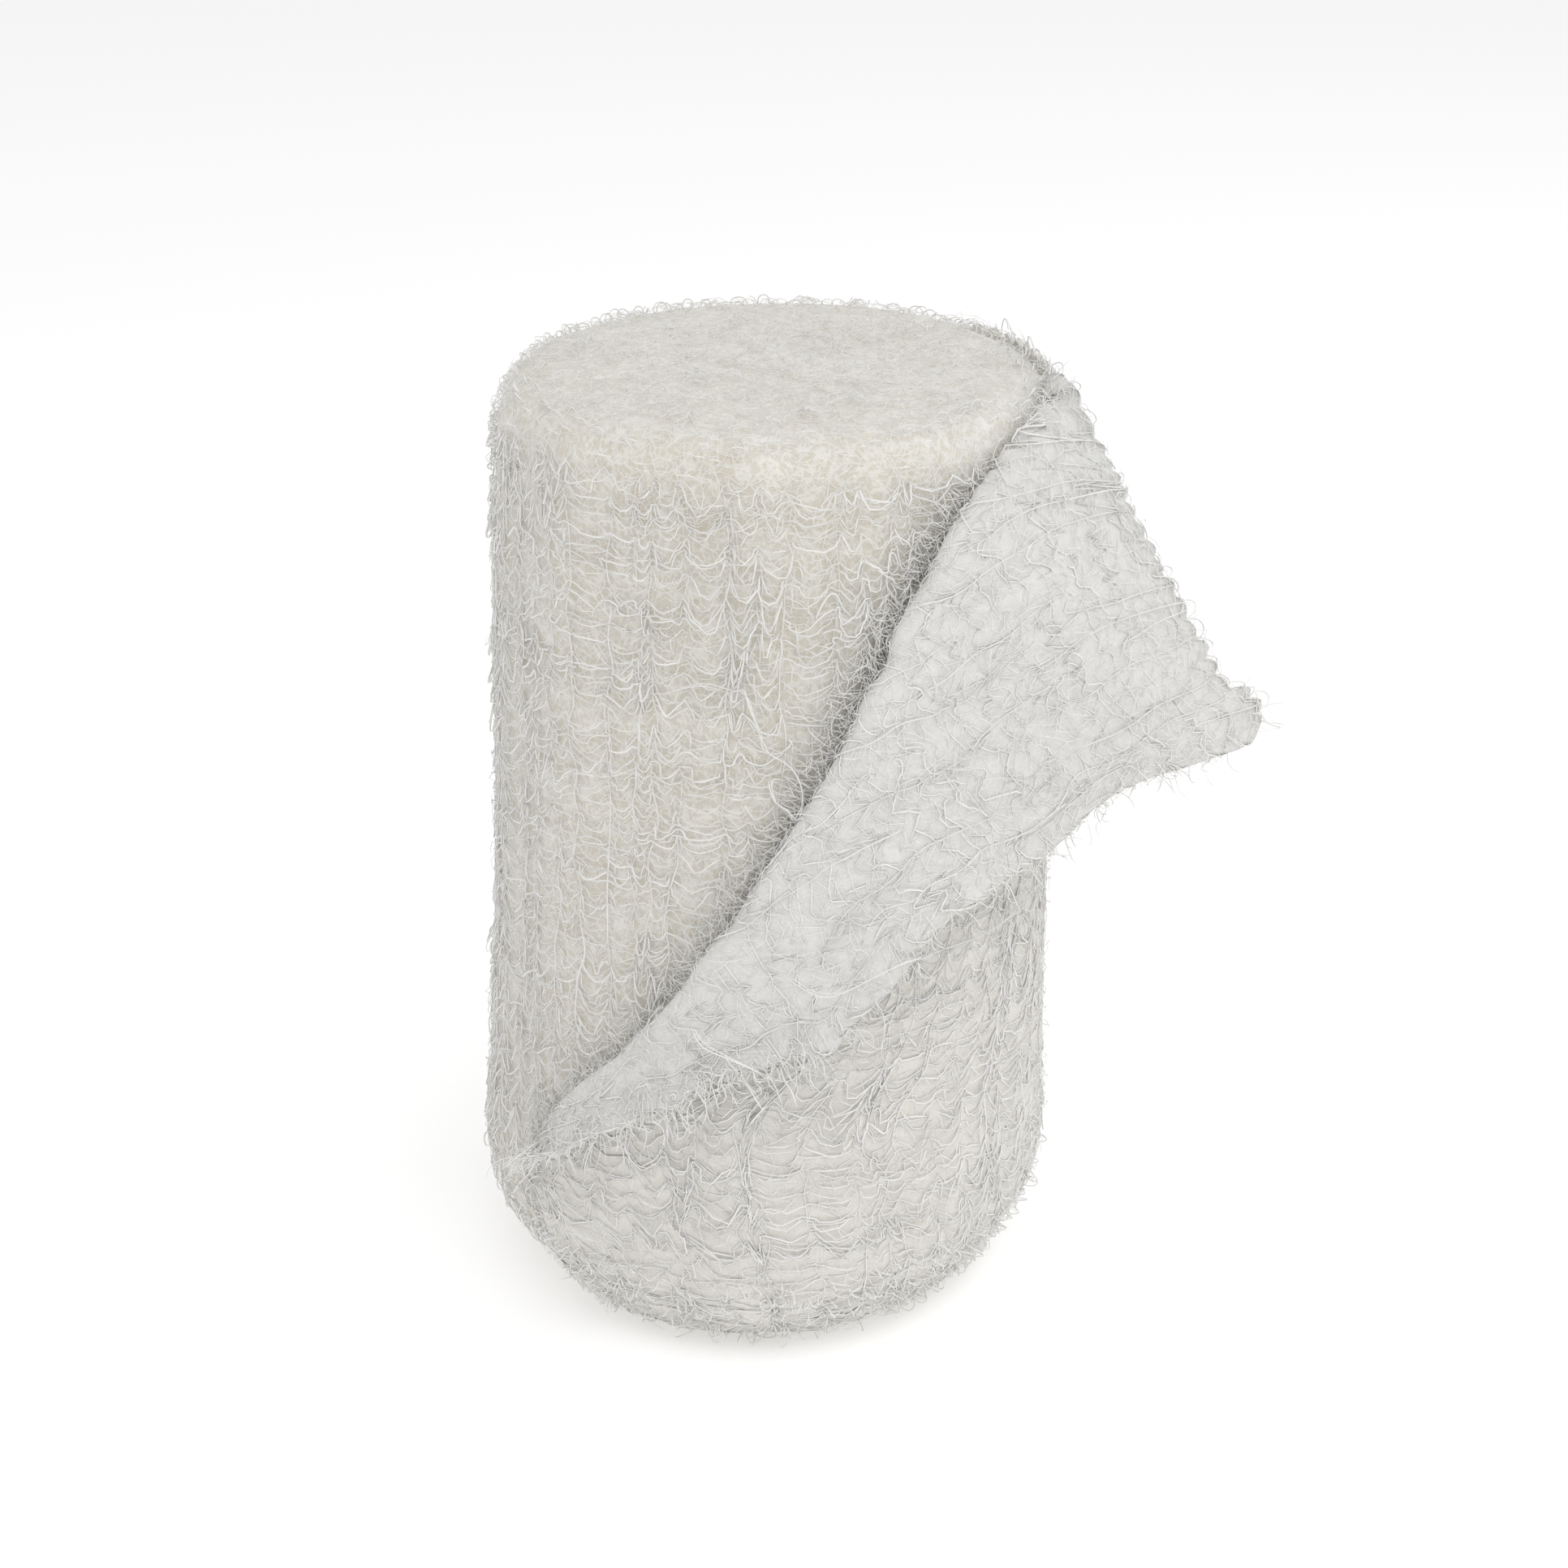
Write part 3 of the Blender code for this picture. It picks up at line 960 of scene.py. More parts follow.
class GauzeSizes(bpy.types.PropertyGroup):
    """Sizes of the gauze's yarns and fluff."""

    crosswise_spacing: bpy.props.FloatProperty(
        name="Crosswise spacing",
        description="Distance between the yarns that run across the strip",
        default=3.75 * MM,
        unit="LENGTH",
    )
    row_spacing: bpy.props.FloatProperty(
        name="Row spacing",
        description="Distance between the crimped yarns that run along the strip",
        default=1.6 * MM,
        unit="LENGTH",
    )
    yarn: bpy.props.FloatProperty(
        name="Yarn radius",
        description="Radius of one strand of yarn",
        default=0.095 * MM,
        unit="LENGTH",
    )
    sag: bpy.props.FloatProperty(
        name="Sag",
        description="How far a crimped yarn hangs between two crosswise yarns",
        default=1.7 * MM,
        unit="LENGTH",
    )
    bulge: bpy.props.FloatProperty(
        name="Bulge",
        description="How far a crimped yarn stands out of the cloth",
        default=0.55 * MM,
        unit="LENGTH",
    )
    fibre: bpy.props.FloatProperty(
        name="Fibre radius",
        description="Radius of one fibre of the fluff",
        default=0.05 * MM,
        unit="LENGTH",
    )
    seed: bpy.props.IntProperty(
        name="Seed",
        description="Changes how the yarns and the fluff fall",
        default=4,
    )


class GauzeColours(bpy.types.PropertyGroup):
    """Colours of the gauze and of its stage."""

    yarn: bpy.props.FloatVectorProperty(
        name="Yarn",
        description="Colour of the yarns and the fluff",
        subtype="COLOR",
        default=(0.93, 0.92, 0.895),
    )
    yarn_shade: bpy.props.FloatVectorProperty(
        name="Yarn shade",
        description="Colour of the yarns where they are a little darker",
        subtype="COLOR",
        default=(0.90, 0.89, 0.86),
    )
    # Painted shade: the roll's colour between its yarns is darker and warmer, standing for the shade deep
    # between them.
    shaded_hollow: bpy.props.FloatVectorProperty(
        name="Hollows",
        description="Colour between the yarns of the wound roll",
        subtype="COLOR",
        default=(0.71, 0.67, 0.59),
    )
    # Painted shade: the loose end's colour between its fibres is darker, standing for the shade between
    # them.
    pale_shaded_hollow: bpy.props.FloatVectorProperty(
        name="Loose end's hollows",
        description="Colour between the yarns of the loose end",
        subtype="COLOR",
        default=(0.69, 0.685, 0.665),
    )
    felt: bpy.props.FloatVectorProperty(
        name="Loose end's felt",
        description="Colour of the matted fibres on the loose end",
        subtype="COLOR",
        default=(0.81, 0.80, 0.78),
    )
    floor: bpy.props.FloatVectorProperty(
        name="Floor",
        description="Colour of the floor",
        subtype="COLOR",
        default=(0.95, 0.95, 0.95),
    )


class GauzeLight(bpy.types.PropertyGroup):
    """Strength of the studio's light."""

    sky: bpy.props.FloatProperty(
        name="Sky",
        description="Strength of the even light from all round",
        default=0.62,
    )
    glow: bpy.props.FloatProperty(
        name="Floor's glow",
        description="Strength of the light that the floor itself gives, as a lit table does",
        default=0.3,
    )
    key: bpy.props.FloatProperty(
        name="Key",
        description="Power of the large lamp above the camera, in watts",
        default=2.4,
    )
    fill: bpy.props.FloatProperty(
        name="Fill",
        description="Power of the large lamp on the right, in watts",
        default=0.7,
    )


# The wound roll.


def divided_copy(node, name):
    """A solid's mesh with its doubled corners merged and its faces divided.

    They are divided flat, because a rounding subdivision folds the long thin faces of a flat end over.
    """
    thing = link(name + "_copy", node.data.copy())
    weld = thing.modifiers.new("weld", "WELD")
    weld.merge_threshold = 0.01 * MM
    finer = thing.modifiers.new("finer", "SUBSURF")
    finer.subdivision_type = "SIMPLE"
    finer.levels = 1
    finer.render_levels = 1
    return plain_mesh(thing, name)


def crosswise_lines(rng, count, levels):
    """For each crosswise yarn, its share u at each level: evenly spaced, wandering a little."""
    spacing = 1 / count
    lines = []
    for k in range(count):
        wander = drift(rng, levels, levels // 6) * 0.24 + drift(rng, levels, 3) * 0.13
        lines.append((k + 0.5 + 0.15 * rng.normal() + wander) * spacing)
    return np.array(lines)


def crossings(lines, level):
    """The shares u at which the crosswise yarns cross one level."""
    return np.array([np.interp(level, np.arange(lines.shape[1]), line) for line in lines])


def crimped_row(rng, knots, sag, out, points, offset):
    """One crimped yarn through its crosswise yarns: shares along, rise over its level, and stand-off."""
    t = np.arange(points) / points
    t = t - 0.06 * np.sin(2 * math.pi * t)
    first = knots[:-1, None]
    span = np.diff(knots)[:, None]
    curl = np.clip(rng.normal(0.02, 0.06, size=(len(span), 1)), -0.08, 0.14)
    bow = rng.normal(0.03, 0.03, size=(len(span), 1))
    skew = rng.normal(0.0, 0.09, size=(len(span), 1))
    wobble = rng.normal(0.0, 0.16, size=(len(span), 1))
    shift = bow * np.sin(4 * math.pi * t) - curl * np.sin(2 * math.pi * t) + skew * np.sin(math.pi * t)
    u = first + span * (t + shift) + span * rng.normal(0.0, 0.03, size=t.shape)
    tight = rng.uniform(0.8, 1.5, size=(len(span), 1))
    hang = (0.5 + 0.5 * np.cos(2 * math.pi * t)) ** tight - 0.45 + wobble * np.sin(4 * math.pi * t)
    stray = rng.normal(0.0, 0.25, size=(len(span), 1)) * MM
    rise = sag[:, None] * hang + stray * np.sin(math.pi * t) + offset
    lift = out[:, None] * np.sin(math.pi * t) ** 1.5
    return u.ravel(), rise.ravel(), lift.ravel()


def make_roll_yarns(sizes):
    """The crosswise yarns up the roll's side, and the crimped yarns that hang in swags between them."""
    rng = np.random.default_rng(sizes.seed)
    form = roll_form()
    surface = form.surface
    low = float(form.side_share(YARNS_FROM))
    high = float(form.side_share(YARNS_TO))
    rows = int((high - low) * form.length / sizes.row_spacing)
    round_length = 2 * math.pi * ROLL_RADIUS
    count = int(round_length / sizes.crosswise_spacing)
    levels = 120
    grid_v = np.linspace(low, high, levels)
    lines = crosswise_lines(rng, count, levels)

    def shown(u, v):
        height = surface.read(surface.points, u, v)[..., 2]
        return ~covered(u * 360.0, height, 5.0) | (height > 112.0 * MM)

    crosswise = Threads()
    for line in lines:
        u = line + drift(rng, levels, 5) * 0.2 * MM / round_length
        off = 0.25 * MM + 0.2 * MM * drift(rng, levels, 14) + 0.12 * MM * drift(rng, levels, 3)
        off = off - 0.6 * MM * ease((grid_v - high) * 18 + 1)
        path = surface.at(u, grid_v, off)
        size = sizes.yarn * (0.95 + 0.25 * drift(rng, levels, 6))
        crosswise.add_runs(path, np.maximum(size, 0.5 * sizes.yarn), shown(u, grid_v))
    crosswise.make("roll_crosswise_yarns")

    sags = drift_field(rng, rows, count, 5, 3)
    outs = drift_field(rng, rows, count, 3, 2)
    for strand, name in enumerate(("roll_crimped_yarns", "roll_crimped_strands")):
        crimped = Threads()
        for k in range(rows):
            v = low + (k + 0.5 + 0.15 * rng.normal()) * (high - low) / rows
            knots = crossings(lines, (v - low) / (high - low) * (levels - 1))
            knots = np.append(knots, knots[0] + 1.0)
            sag = sizes.sag * np.clip(1.0 + 0.55 * sags[k] + 0.3 * rng.normal(size=count), -0.4, 2.2)
            out = sizes.bulge * np.clip(0.6 + 0.6 * outs[k] + 0.4 * rng.normal(size=count), -0.3, 2.0)
            offset = (strand - 0.5) * STRAND_GAP
            u, rise, lift = crimped_row(rng, knots, sag, out, 10 - 2 * strand, offset)
            wander = drift(rng, len(u), 40) * 0.5 * MM + drift(rng, len(u), 3) * 0.12 * MM
            v_path = v + (rise + wander) / form.length
            off = 0.35 * MM + lift + 0.2 * MM * drift(rng, len(u), 4)
            fade = ease((form.rim_share(31 * MM) - v_path) * 40 + 0.5)
            path = surface.at(u, v_path, off * (0.2 + 0.8 * fade))
            size = sizes.yarn * (1.05 - 0.25 * strand + 0.3 * drift(rng, len(u), 8))
            crimped.add_runs(path, np.maximum(size, 0.45 * sizes.yarn), shown(u, v_path))
        crimped.make(name)


def make_roll_skin():
    """The felted surface under the roll's yarns."""
    mesh = divided_copy(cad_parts["wound_roll"], "roll_skin")
    mesh.materials.clear()
    mesh.materials.append(finish("wound_cloth"))
    mesh.shade_smooth()
    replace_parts(show("roll_skin", mesh), "wound_roll")


def near_fold(angle, height):
    """How close a place on the roll is to the loose end's fold line, upper selvage or root."""
    gap = read_table(FOLDED_ROWS, "fold", height) - signed(angle)
    along = (height > 24 * MM) & (height < 109 * MM)
    under = covered(angle, height, 0.0) & (height < 112.5 * MM)
    root = ease(1 - np.abs(np.mod(angle, 360.0) - ROOT_ANGLE) / 5.0) * (height > 3 * MM)
    fold = ease(1 - np.abs(gap - 3.0) / 9.0) * along
    return fold + 0.7 * under * ease((height - 107 * MM) / (3 * MM)) + 0.25 * root


def grow_fluff(sizes, kind, points, cover, closed):
    """One kind of fluff over a grid of points, where its cover says."""
    mesh = grid_mesh(kind.name, points, closed)
    set_values(mesh, "cover", cover)
    grow(
        kind.name,
        mesh,
        fluff_tree(),
        Density=kind.density,
        Length=kind.length * MM,
        Thickness=sizes.fibre,
        Curl=kind.curl * MM,
        Lift=kind.lift * MM,
        Seed=kind.seed + sizes.seed,
        Finish=finish("yarn"),
    )


def make_roll_fluff(sizes):
    """Curled fibres on the roll's side, closer together on its two ends and beside the fold."""
    points = roll_form().surface.points
    ring = points[:, :-1]
    height = ring[..., 2]
    angle = place_angle(ring)
    side = np.hypot(ring[..., 0] - LEAN * height, ring[..., 1])
    on_end = (height > 111.5 * MM) | ((height < 1.0 * MM) & (side < 26 * MM))
    bare = covered(angle, height, 4.0) & (height < 112 * MM)
    covers = (
        np.where(on_end | bare, 0.0, 1.0),
        ease((height - 104 * MM) / (5 * MM)) + 0.35 * (height < 0.5 * MM),
        near_fold(angle, height),
    )
    for kind, cover in zip(ROLL_FLUFF, covers):
        grow_fluff(sizes, kind, points, cover, closed=True)


# The half turn of a loop of yarn: how far out and how far aside each of its points is.
HALF_TURN = np.linspace(0, math.pi, 9)[:, None]
LOOP_OUT = np.sin(HALF_TURN)
LOOP_ASIDE = np.cos(HALF_TURN)


def small_loop(rng, surface, u, v, low, high):
    """A loop of yarn, turned and leaning at random, from low to high millimetres tall."""
    width = rng.uniform(0.5, 1.1) * MM
    tall = rng.uniform(low, high) * MM
    way = rng.uniform(0, math.pi)
    lean = rng.normal(0, 0.6)
    out = unit(surface.read(surface.normals, u, v))
    up = surface.read(surface.up, u, v)
    side = np.cross(out, up)
    flat = up * math.cos(way) + side * math.sin(way)
    other = np.cross(out, flat)
    return surface.at(u, v) + flat * width * LOOP_ASIDE + (out + other * lean) * tall * LOOP_OUT


def make_roll_loops(sizes):
    """Small loops of yarn that stand out of the roll's side and rim."""
    rng = np.random.default_rng(sizes.seed + 50)
    form = roll_form()
    surface = form.surface
    loops = Threads()
    low = float(form.side_share(3 * MM))
    high = float(form.rim_share(30 * MM))
    for _ in range(SIDE_LOOPS):
        u, v = np.array(rng.random()), np.array(rng.uniform(low, high))
        if covered(u * 360.0, surface.read(surface.points, u, v)[2], 3.0):
            continue
        loops.add(small_loop(rng, surface, u, v, 0.5, 1.3), sizes.yarn * 0.8, ends=0.8)
    for k in range(RIM_LOOPS):
        u = np.array((k + rng.random()) / RIM_LOOPS)
        v = np.array(form.rim_share(rng.uniform(27.5, 31.5) * MM))
        tall = rng.uniform(0.6, 1.5) * MM
        width = rng.uniform(0.5, 1.0) * MM
        base = surface.at(u, v, -0.1 * MM)
        out = unit(surface.read(surface.normals, u, v))
        along = surface.read(surface.across, u, v)
        path = base + along * width * LOOP_ASIDE * (1 + 0.5 * LOOP_OUT) + out * tall * LOOP_OUT
        loops.add(path, sizes.yarn * 0.9, ends=0.8)
    loops.make("roll_loops")


# The loose end.


def make_loose_cloth():
    """The last turn's felted sheet, its selvage scalloped and its cut end ragged."""
    form = loose_form()
    u, v = share_grid(80, 160)
    mesh = grid_mesh("loose_cloth", form.surface.at(u, v), closed=False)
    # Painted shade: where the felt lies on the roll, its hollows take the roll's darker hollow colour.
    set_values(mesh, "lying", LYING_SHADE * (1 - form.lapel_share(u, v)))
    mesh.materials.append(finish("loose_cloth"))
    thing = link("loose_cloth_base", mesh)
    wall = thing.modifiers.new("cloth", "SOLIDIFY")
    wall.thickness = FELT_THICKNESS
    wall.offset = 0.0
    result = plain_mesh(thing, "loose_cloth")
    result.shade_smooth()
    cloth = show("loose_cloth", result)
    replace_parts(cloth, "loose_end")


def make_loose_yarns(sizes):
    """The loose end's crosswise yarns and the crimped yarns between them."""
    rng = np.random.default_rng(sizes.seed + 100)
    form = loose_form()
    surface = form.surface
    count = int(form.length / sizes.crosswise_spacing)
    rows = int(form.width / sizes.row_spacing)
    levels = 110
    grid_v = np.linspace(0, 1, levels)
    lines = crosswise_lines(rng, count, levels)

    crosswise = Threads()
    for line in lines:
        for strand in range(2):
            wander = (drift(rng, levels, 4) * 0.4 + drift(rng, levels, 2) * 0.25) * MM
            u = np.clip(line + wander / form.length, 0.002, 0.998)
            lapel = form.lapel_share(u, grid_v)
            side = 0.28 * MM if strand == 0 else 0.28 * MM - 0.7 * MM * lapel
            off = side + 0.12 * MM * drift(rng, levels, 10) + 0.1 * MM * drift(rng, levels, 3)
            size = sizes.yarn * (0.9 + 0.1 * lapel + 0.25 * drift(rng, levels, 6))
            shown = drift(rng, levels, 9) > -0.45
            crosswise.add_runs(surface.at(u, grid_v, off), np.maximum(size, 0.5 * sizes.yarn), shown)
    crosswise.make("loose_crosswise_yarns")

    sags = drift_field(rng, rows, count, 5, 3)
    outs = drift_field(rng, rows, count, 3, 2)
    for strand, name in enumerate(("loose_crimped_yarns", "loose_crimped_strands")):
        crimped = Threads()
        for k in range(rows):
            v = (k + 0.5 + 0.15 * rng.normal()) / rows
            knots = np.concatenate(([-0.01], crossings(lines, v * (levels - 1)), [1.0]))
            cells = len(knots) - 1
            wave = np.interp(np.arange(cells), np.arange(count), sags[k])
            sag = sizes.sag * np.clip(0.8 + 0.5 * wave + 0.4 * rng.normal(size=cells), -0.8, 2.0)
            swell = np.interp(np.arange(cells), np.arange(count), outs[k])
            out = sizes.bulge * np.clip(0.5 + 0.4 * swell + 0.4 * rng.normal(size=cells), -0.2, 1.5)
            offset = (strand - 0.5) * STRAND_GAP
            u, rise, lift = crimped_row(rng, knots, sag, out, 8 - strand, offset)
            wander = drift(rng, len(u), 40) * 0.5 * MM + drift(rng, len(u), 3) * 0.3 * MM
            v_path = np.clip(v + (rise + wander) / form.width, 0.0, 1.0)
            lapel = form.lapel_share(u, v_path)
            side = 1.0 if strand == 0 else 1 - 2 * lapel
            stand = 0.26 * MM + lift * (0.7 - 0.4 * lapel)
            off = side * stand + 0.12 * MM * drift(rng, len(u), 4)
            path = surface.at(np.clip(u, 0.0, 1.0), v_path, off)
            size = sizes.yarn * (1.1 - 0.1 * strand + 0.3 * drift(rng, len(u), 8))
            crimped.add(path, np.maximum(size, 0.5 * sizes.yarn))
        crimped.make(name)


def make_loose_fluff(sizes):
    """Curled fibres on the loose end: outside where it lies on the roll, and on both sides of the lapel."""
    form = loose_form()
    u, v = share_grid(60, 110)
    lapel = form.lapel_share(u, v)
    outside, inside = LOOSE_FLUFF
    grow_fluff(sizes, outside, form.surface.at(u, v, 0.2 * MM), 1 - 0.75 * lapel, closed=False)
    cover = np.maximum(lapel, 0.8 * ease((v - 0.93) / 0.03))
    points = form.surface.at(u, v, -0.2 * MM)
    grow_fluff(sizes, inside, points[:, ::-1], cover[:, ::-1], closed=False)


def make_selvage_loops(rng, form, yarn):
    """Loops of yarn in a row along each selvage, and more of them up the foot of the loose end."""
    surface = form.surface
    loops = Threads()
    for selvage in SELVAGES:
        v = np.array(selvage.edge)
        at = 0.01
        while at < 0.99:
            width = rng.uniform(0.8, 1.7) * MM
            u = np.array(at + width / form.length)
            up = surface.read(surface.up, u, v) * selvage.way
            across = surface.read(surface.across, u, v)
            out = surface.read(surface.normals, u, v)
            tall = rng.uniform(selvage.low, selvage.high) * MM
            path = surface.at(u, v) + across * width * LOOP_ASIDE + up * (tall * LOOP_OUT - 0.4 * MM)
            loops.add(path + out * rng.normal(0, 0.4) * MM * LOOP_OUT, yarn * 0.9, ends=0.8)
            at += 2 * width / form.length * rng.uniform(0.7, 1.3)
    for _ in range(FOOT_LOOPS):
        u, v = np.array(rng.uniform(0.0, 1.0)), np.array(rng.uniform(0.0, 0.1))
        loops.add(small_loop(rng, surface, u, v, 0.8, 2.2), yarn * 0.9, ends=0.8)
    loops.make("selvage_loops")


def loose_thread(rng, start, way, length, droop):
    """A short thread that leaves the cloth, curls and hangs."""
    t = np.linspace(0, 1, FRAY_POINTS)[:, None]
    bend = shake(rng, FRAY_POINTS, 3) * FRAY_CURL
    return start + way * length * t + bend * t - np.array((0.0, 0.0, droop)) * t**2


def make_frays(rng, form, yarn):
    """Threads frayed out of the cut end."""
    surface = form.surface
    end = np.array(0.0)
    frays = Threads()
    for fray in FRAYS:
        for _ in range(fray.count):
            v = np.array(rng.uniform(fray.low, fray.high))
            start = surface.at(np.array(rng.uniform(0.0, 0.03)), v, rng.normal(0, 0.3) * MM)
            across = -surface.read(surface.across, end, v)
            out = surface.read(surface.normals, end, v)
            up = surface.read(surface.up, end, v)
            way = unit(across + 0.7 * rng.normal() * up - 0.35 * abs(rng.normal()) * out)
            span = (FRAY_SHORTEST + (fray.longest - FRAY_SHORTEST) * rng.random() ** 2) * MM
            path = loose_thread(rng, start, way, span, fray.droop * span)
            frays.add(path, yarn * rng.uniform(0.6, 1.0))
    frays.make("frayed_threads")


def make_fold_loops(rng, form, yarn):
    """Small loops along the fold."""
    loops = Threads()
    for _ in range(FOLD_LOOPS):
        v = np.array(rng.uniform(0.17, 1.0))
        u = form.fold_share(v) - rng.uniform(0.0, 0.06)
        loops.add(small_loop(rng, form.surface, u, v, 0.45, 0.7), yarn * 0.8, ends=0.8)
    loops.make("fold_loops")


def make_loose_edges(sizes):
    """The loose end's selvage loops, its frayed cut end and the loops along its fold."""
    rng = np.random.default_rng(sizes.seed + 200)
    make_selvage_loops(rng, loose_form(), sizes.yarn)
    make_frays(rng, loose_form(), sizes.yarn)
    make_fold_loops(rng, loose_form(), sizes.yarn)


def smooth_line(points, steps=6):
    """A smooth curve through points."""
    ends = np.concatenate((2 * points[:1] - points[1:2], points, 2 * points[-1:] - points[-2:-1]))
    t = (np.arange(steps) / steps)[:, None]
    spans = []
    for a, b, c, d in zip(ends, ends[1:], ends[2:], ends[3:]):
        square = 2 * a - 5 * b + 4 * c - d
        cube = 3 * b - a - 3 * c + d
        spans.append(b + 0.5 * ((c - a) * t + square * t**2 + cube * t**3))
    return np.concatenate(spans + [points[-1:]])


def make_stray_threads(sizes):
    """The long threads that lie loose on the outside."""
    rng = np.random.default_rng(sizes.seed + 300)
    threads = Threads()
    for table in (STRAY_LOOP, STRAY_YARN, STRAY_END):
        rows = np.array(table)
        line = smooth_line(around(rows[:, 0], rows[:, 2] * MM, rows[:, 1] * MM))
        for _ in range(2):
            threads.add(line + shake(rng, len(line), 4) * 0.2 * MM, sizes.yarn * 0.9)
    threads.make("stray_threads")


# The stage.


def make_floor(colour, glow):
    """A pale floor that gives a little light itself."""
    material = new_material(
        "floor",
        Roughness=0.9,
        Specular_IOR_Level=0.1,
        Base_Color=colour,
        Emission_Color=colour,
        Emission_Strength=glow,
    )[0]
    far = FLOOR_REACH
    corners = [(x, y, -FLOOR_DROP) for x, y in ((-far, -far), (far, -far), (far, far), (-far, far))]
    mesh = bpy.data.meshes.new("floor")
    mesh.from_pydata(corners, [], [(0, 1, 2, 3)])
    mesh.materials.append(material)
    link("floor", mesh)


def make_lights(light):
    """The even light from all round and two large soft lamps."""
    world = bpy.data.worlds.new("studio")
    world.use_nodes = True
    background = world.node_tree.nodes["Background"]
    background.inputs["Color"].default_value = opaque((1.0, 1.0, 1.0))
    background.inputs["Strength"].default_value = light.sky
    bpy.context.scene.world = world
    for lamp in LAMPS:
        data = bpy.data.lights.new(lamp.name, "AREA")
        data.energy = getattr(light, lamp.name)
        data.size = lamp.size
        thing = link(lamp.name, data)
        thing.location = lamp.place
        aim = Vector(LAMP_AIM) - Vector(lamp.place)
        thing.rotation_euler = aim.to_track_quat("-Z", "Y").to_euler()


def make_camera():
    """The photo's camera. The plain view transform keeps white cotton white."""
    data = bpy.data.cameras.new("camera")
    data.sensor_width = SENSOR
    data.lens = FOCAL_PIXELS / FRAME_PIXELS * SENSOR
    data.clip_start = NEAREST
    data.clip_end = FARTHEST
    camera = link("camera", data)
    camera.location = CAMERA_PLACE
    camera.rotation_euler = (math.radians(90 - CAMERA_PITCH), 0.0, 0.0)
    bpy.context.scene.camera = camera
    bpy.context.scene.view_settings.view_transform = "Standard"


# Operators and the panel.


class GAUZE_OT_stage(bpy.types.Operator):
    """Make the floor, the lamps and the camera"""

    bl_idname = "gauze.stage"
    bl_label = "Stage"

    def execute(self, context):
        light = context.scene.gauze_light
        make_floor(opaque(context.scene.gauze_colours.floor), light.glow)
        make_lights(light)
        make_camera()
        return {"FINISHED"}


class GAUZE_OT_roll_skin(bpy.types.Operator):
    """Make the felted surface of the wound roll"""

    bl_idname = "gauze.roll_skin"
    bl_label = "Roll's skin"

    def execute(self, context):
        make_roll_skin()
        return {"FINISHED"}


class GAUZE_OT_roll_yarns(bpy.types.Operator):
    """Make the crosswise and crimped yarns of the wound roll"""

    bl_idname = "gauze.roll_yarns"
    bl_label = "Roll's yarns"

    def execute(self, context):
        make_roll_yarns(context.scene.gauze_sizes)
        return {"FINISHED"}


class GAUZE_OT_roll_fluff(bpy.types.Operator):
    """Make the fluff on the roll's side and ends"""

    bl_idname = "gauze.roll_fluff"
    bl_label = "Roll's fluff"

    def execute(self, context):
        make_roll_fluff(context.scene.gauze_sizes)
        return {"FINISHED"}


class GAUZE_OT_roll_loops(bpy.types.Operator):
    """Make the small loops on the roll's side and rim"""

    bl_idname = "gauze.roll_loops"
    bl_label = "Roll's loops"

    def execute(self, context):
        make_roll_loops(context.scene.gauze_sizes)
        return {"FINISHED"}


class GAUZE_OT_loose_yarns(bpy.types.Operator):
    """Make the crosswise and crimped yarns of the loose end"""

    bl_idname = "gauze.loose_yarns"
    bl_label = "Loose end's yarns"

    def execute(self, context):
        make_loose_yarns(context.scene.gauze_sizes)
        return {"FINISHED"}


class GAUZE_OT_loose_fluff(bpy.types.Operator):
    """Make the fluff on both sides of the loose end"""

    bl_idname = "gauze.loose_fluff"
    bl_label = "Loose end's fluff"

    def execute(self, context):
        make_loose_fluff(context.scene.gauze_sizes)
        return {"FINISHED"}


class GAUZE_OT_loose_edges(bpy.types.Operator):
    """Make the selvage loops, the frayed cut end and the loops along the fold"""

    bl_idname = "gauze.loose_edges"
    bl_label = "Loose end's edges"

    def execute(self, context):
        make_loose_edges(context.scene.gauze_sizes)
        return {"FINISHED"}


class GAUZE_OT_stray_threads(bpy.types.Operator):
    """Make the long threads that lie loose on the outside"""

    bl_idname = "gauze.stray_threads"
    bl_label = "Stray threads"

    def execute(self, context):
        make_stray_threads(context.scene.gauze_sizes)
        return {"FINISHED"}


class GAUZE_OT_loose_cloth(bpy.types.Operator):
    """Make the loose end's felted sheet, which carries its yarns, fluff and edges"""

    bl_idname = "gauze.loose_cloth"
    bl_label = "Loose end's cloth"

    def execute(self, context):
        make_loose_cloth()
        return {"FINISHED"}


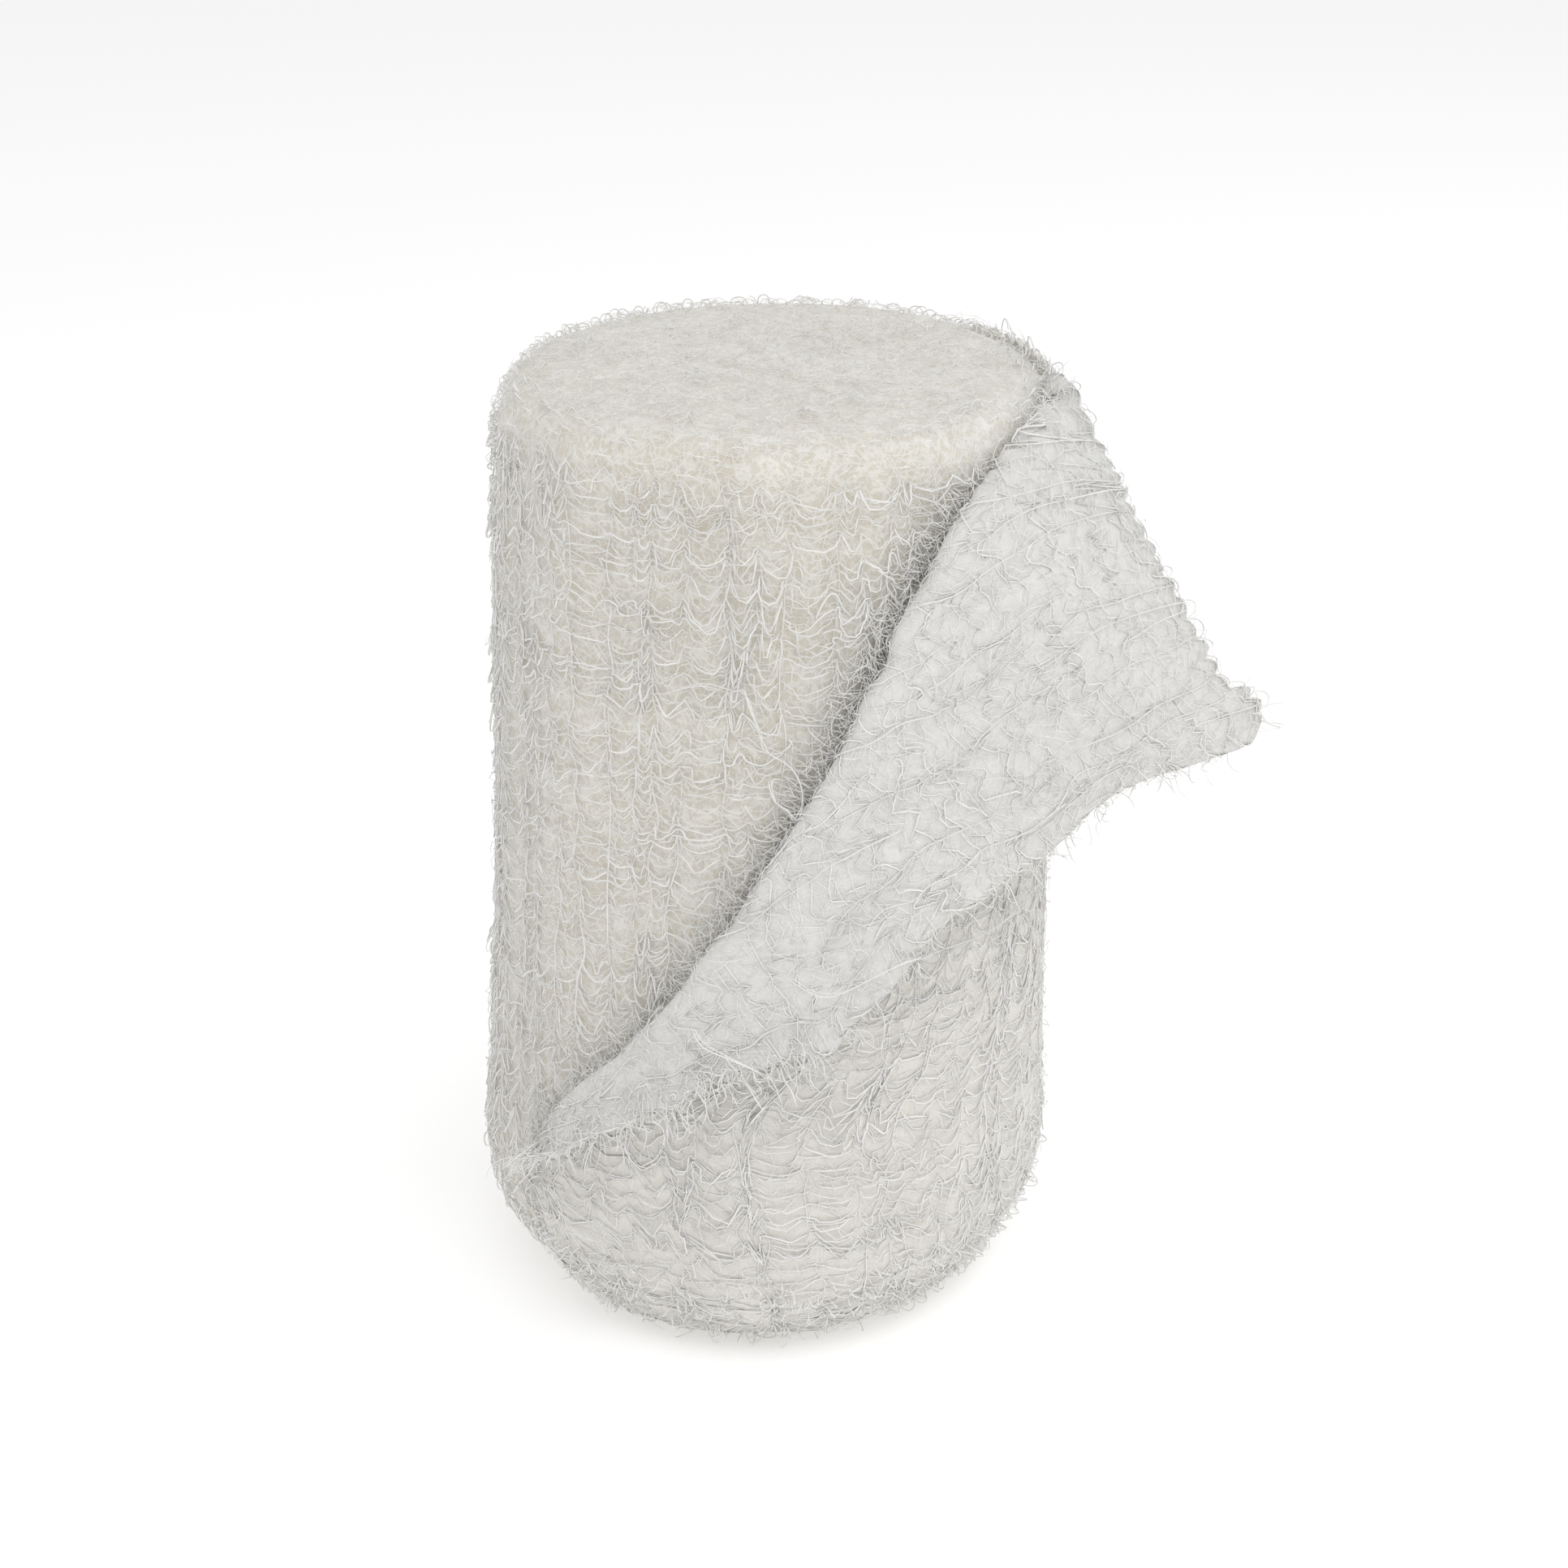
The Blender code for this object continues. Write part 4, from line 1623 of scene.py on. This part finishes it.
class GAUZE_PT_panel(bpy.types.Panel):
    """Lists the roll's sizes, colours and steps"""

    bl_idname = "GAUZE_PT_panel"
    bl_label = "Gauze bandage roll"
    bl_space_type = "VIEW_3D"
    bl_region_type = "UI"
    bl_category = "Gauze"

    def draw(self, context):
        for group in ("gauze_sizes", "gauze_colours", "gauze_light"):
            box = self.layout.box()
            values = getattr(context.scene, group)
            for name in values.bl_rna.properties.keys():
                if name not in ("rna_type", "name"):
                    box.prop(values, name)
        for operator in OPERATORS:
            self.layout.operator(operator.bl_idname)


GROUPS = (("gauze_sizes", GauzeSizes), ("gauze_colours", GauzeColours), ("gauze_light", GauzeLight))
OPERATORS = (
    GAUZE_OT_stage,
    GAUZE_OT_roll_skin,
    GAUZE_OT_roll_yarns,
    GAUZE_OT_roll_fluff,
    GAUZE_OT_roll_loops,
    GAUZE_OT_loose_yarns,
    GAUZE_OT_loose_fluff,
    GAUZE_OT_loose_edges,
    GAUZE_OT_stray_threads,
    GAUZE_OT_loose_cloth,
)


def register():
    """Adds the classes and the scene's settings."""
    for name, group in GROUPS:
        bpy.utils.register_class(group)
        setattr(bpy.types.Scene, name, bpy.props.PointerProperty(type=group))
    for operator in OPERATORS:
        bpy.utils.register_class(operator)
    bpy.utils.register_class(GAUZE_PT_panel)


def unregister():
    """Takes them away again."""
    bpy.utils.unregister_class(GAUZE_PT_panel)
    for operator in reversed(OPERATORS):
        bpy.utils.unregister_class(operator)
    for name, group in reversed(GROUPS):
        delattr(bpy.types.Scene, name)
        bpy.utils.unregister_class(group)


def main():
    """Makes every piece in order."""
    register()
    bpy.ops.gauze.stage()
    bpy.ops.gauze.roll_skin()
    bpy.ops.gauze.roll_yarns()
    bpy.ops.gauze.roll_fluff()
    bpy.ops.gauze.roll_loops()
    bpy.ops.gauze.loose_yarns()
    bpy.ops.gauze.loose_fluff()
    bpy.ops.gauze.loose_edges()
    bpy.ops.gauze.stray_threads()
    bpy.ops.gauze.loose_cloth()


if __name__ == "__main__":
    main()
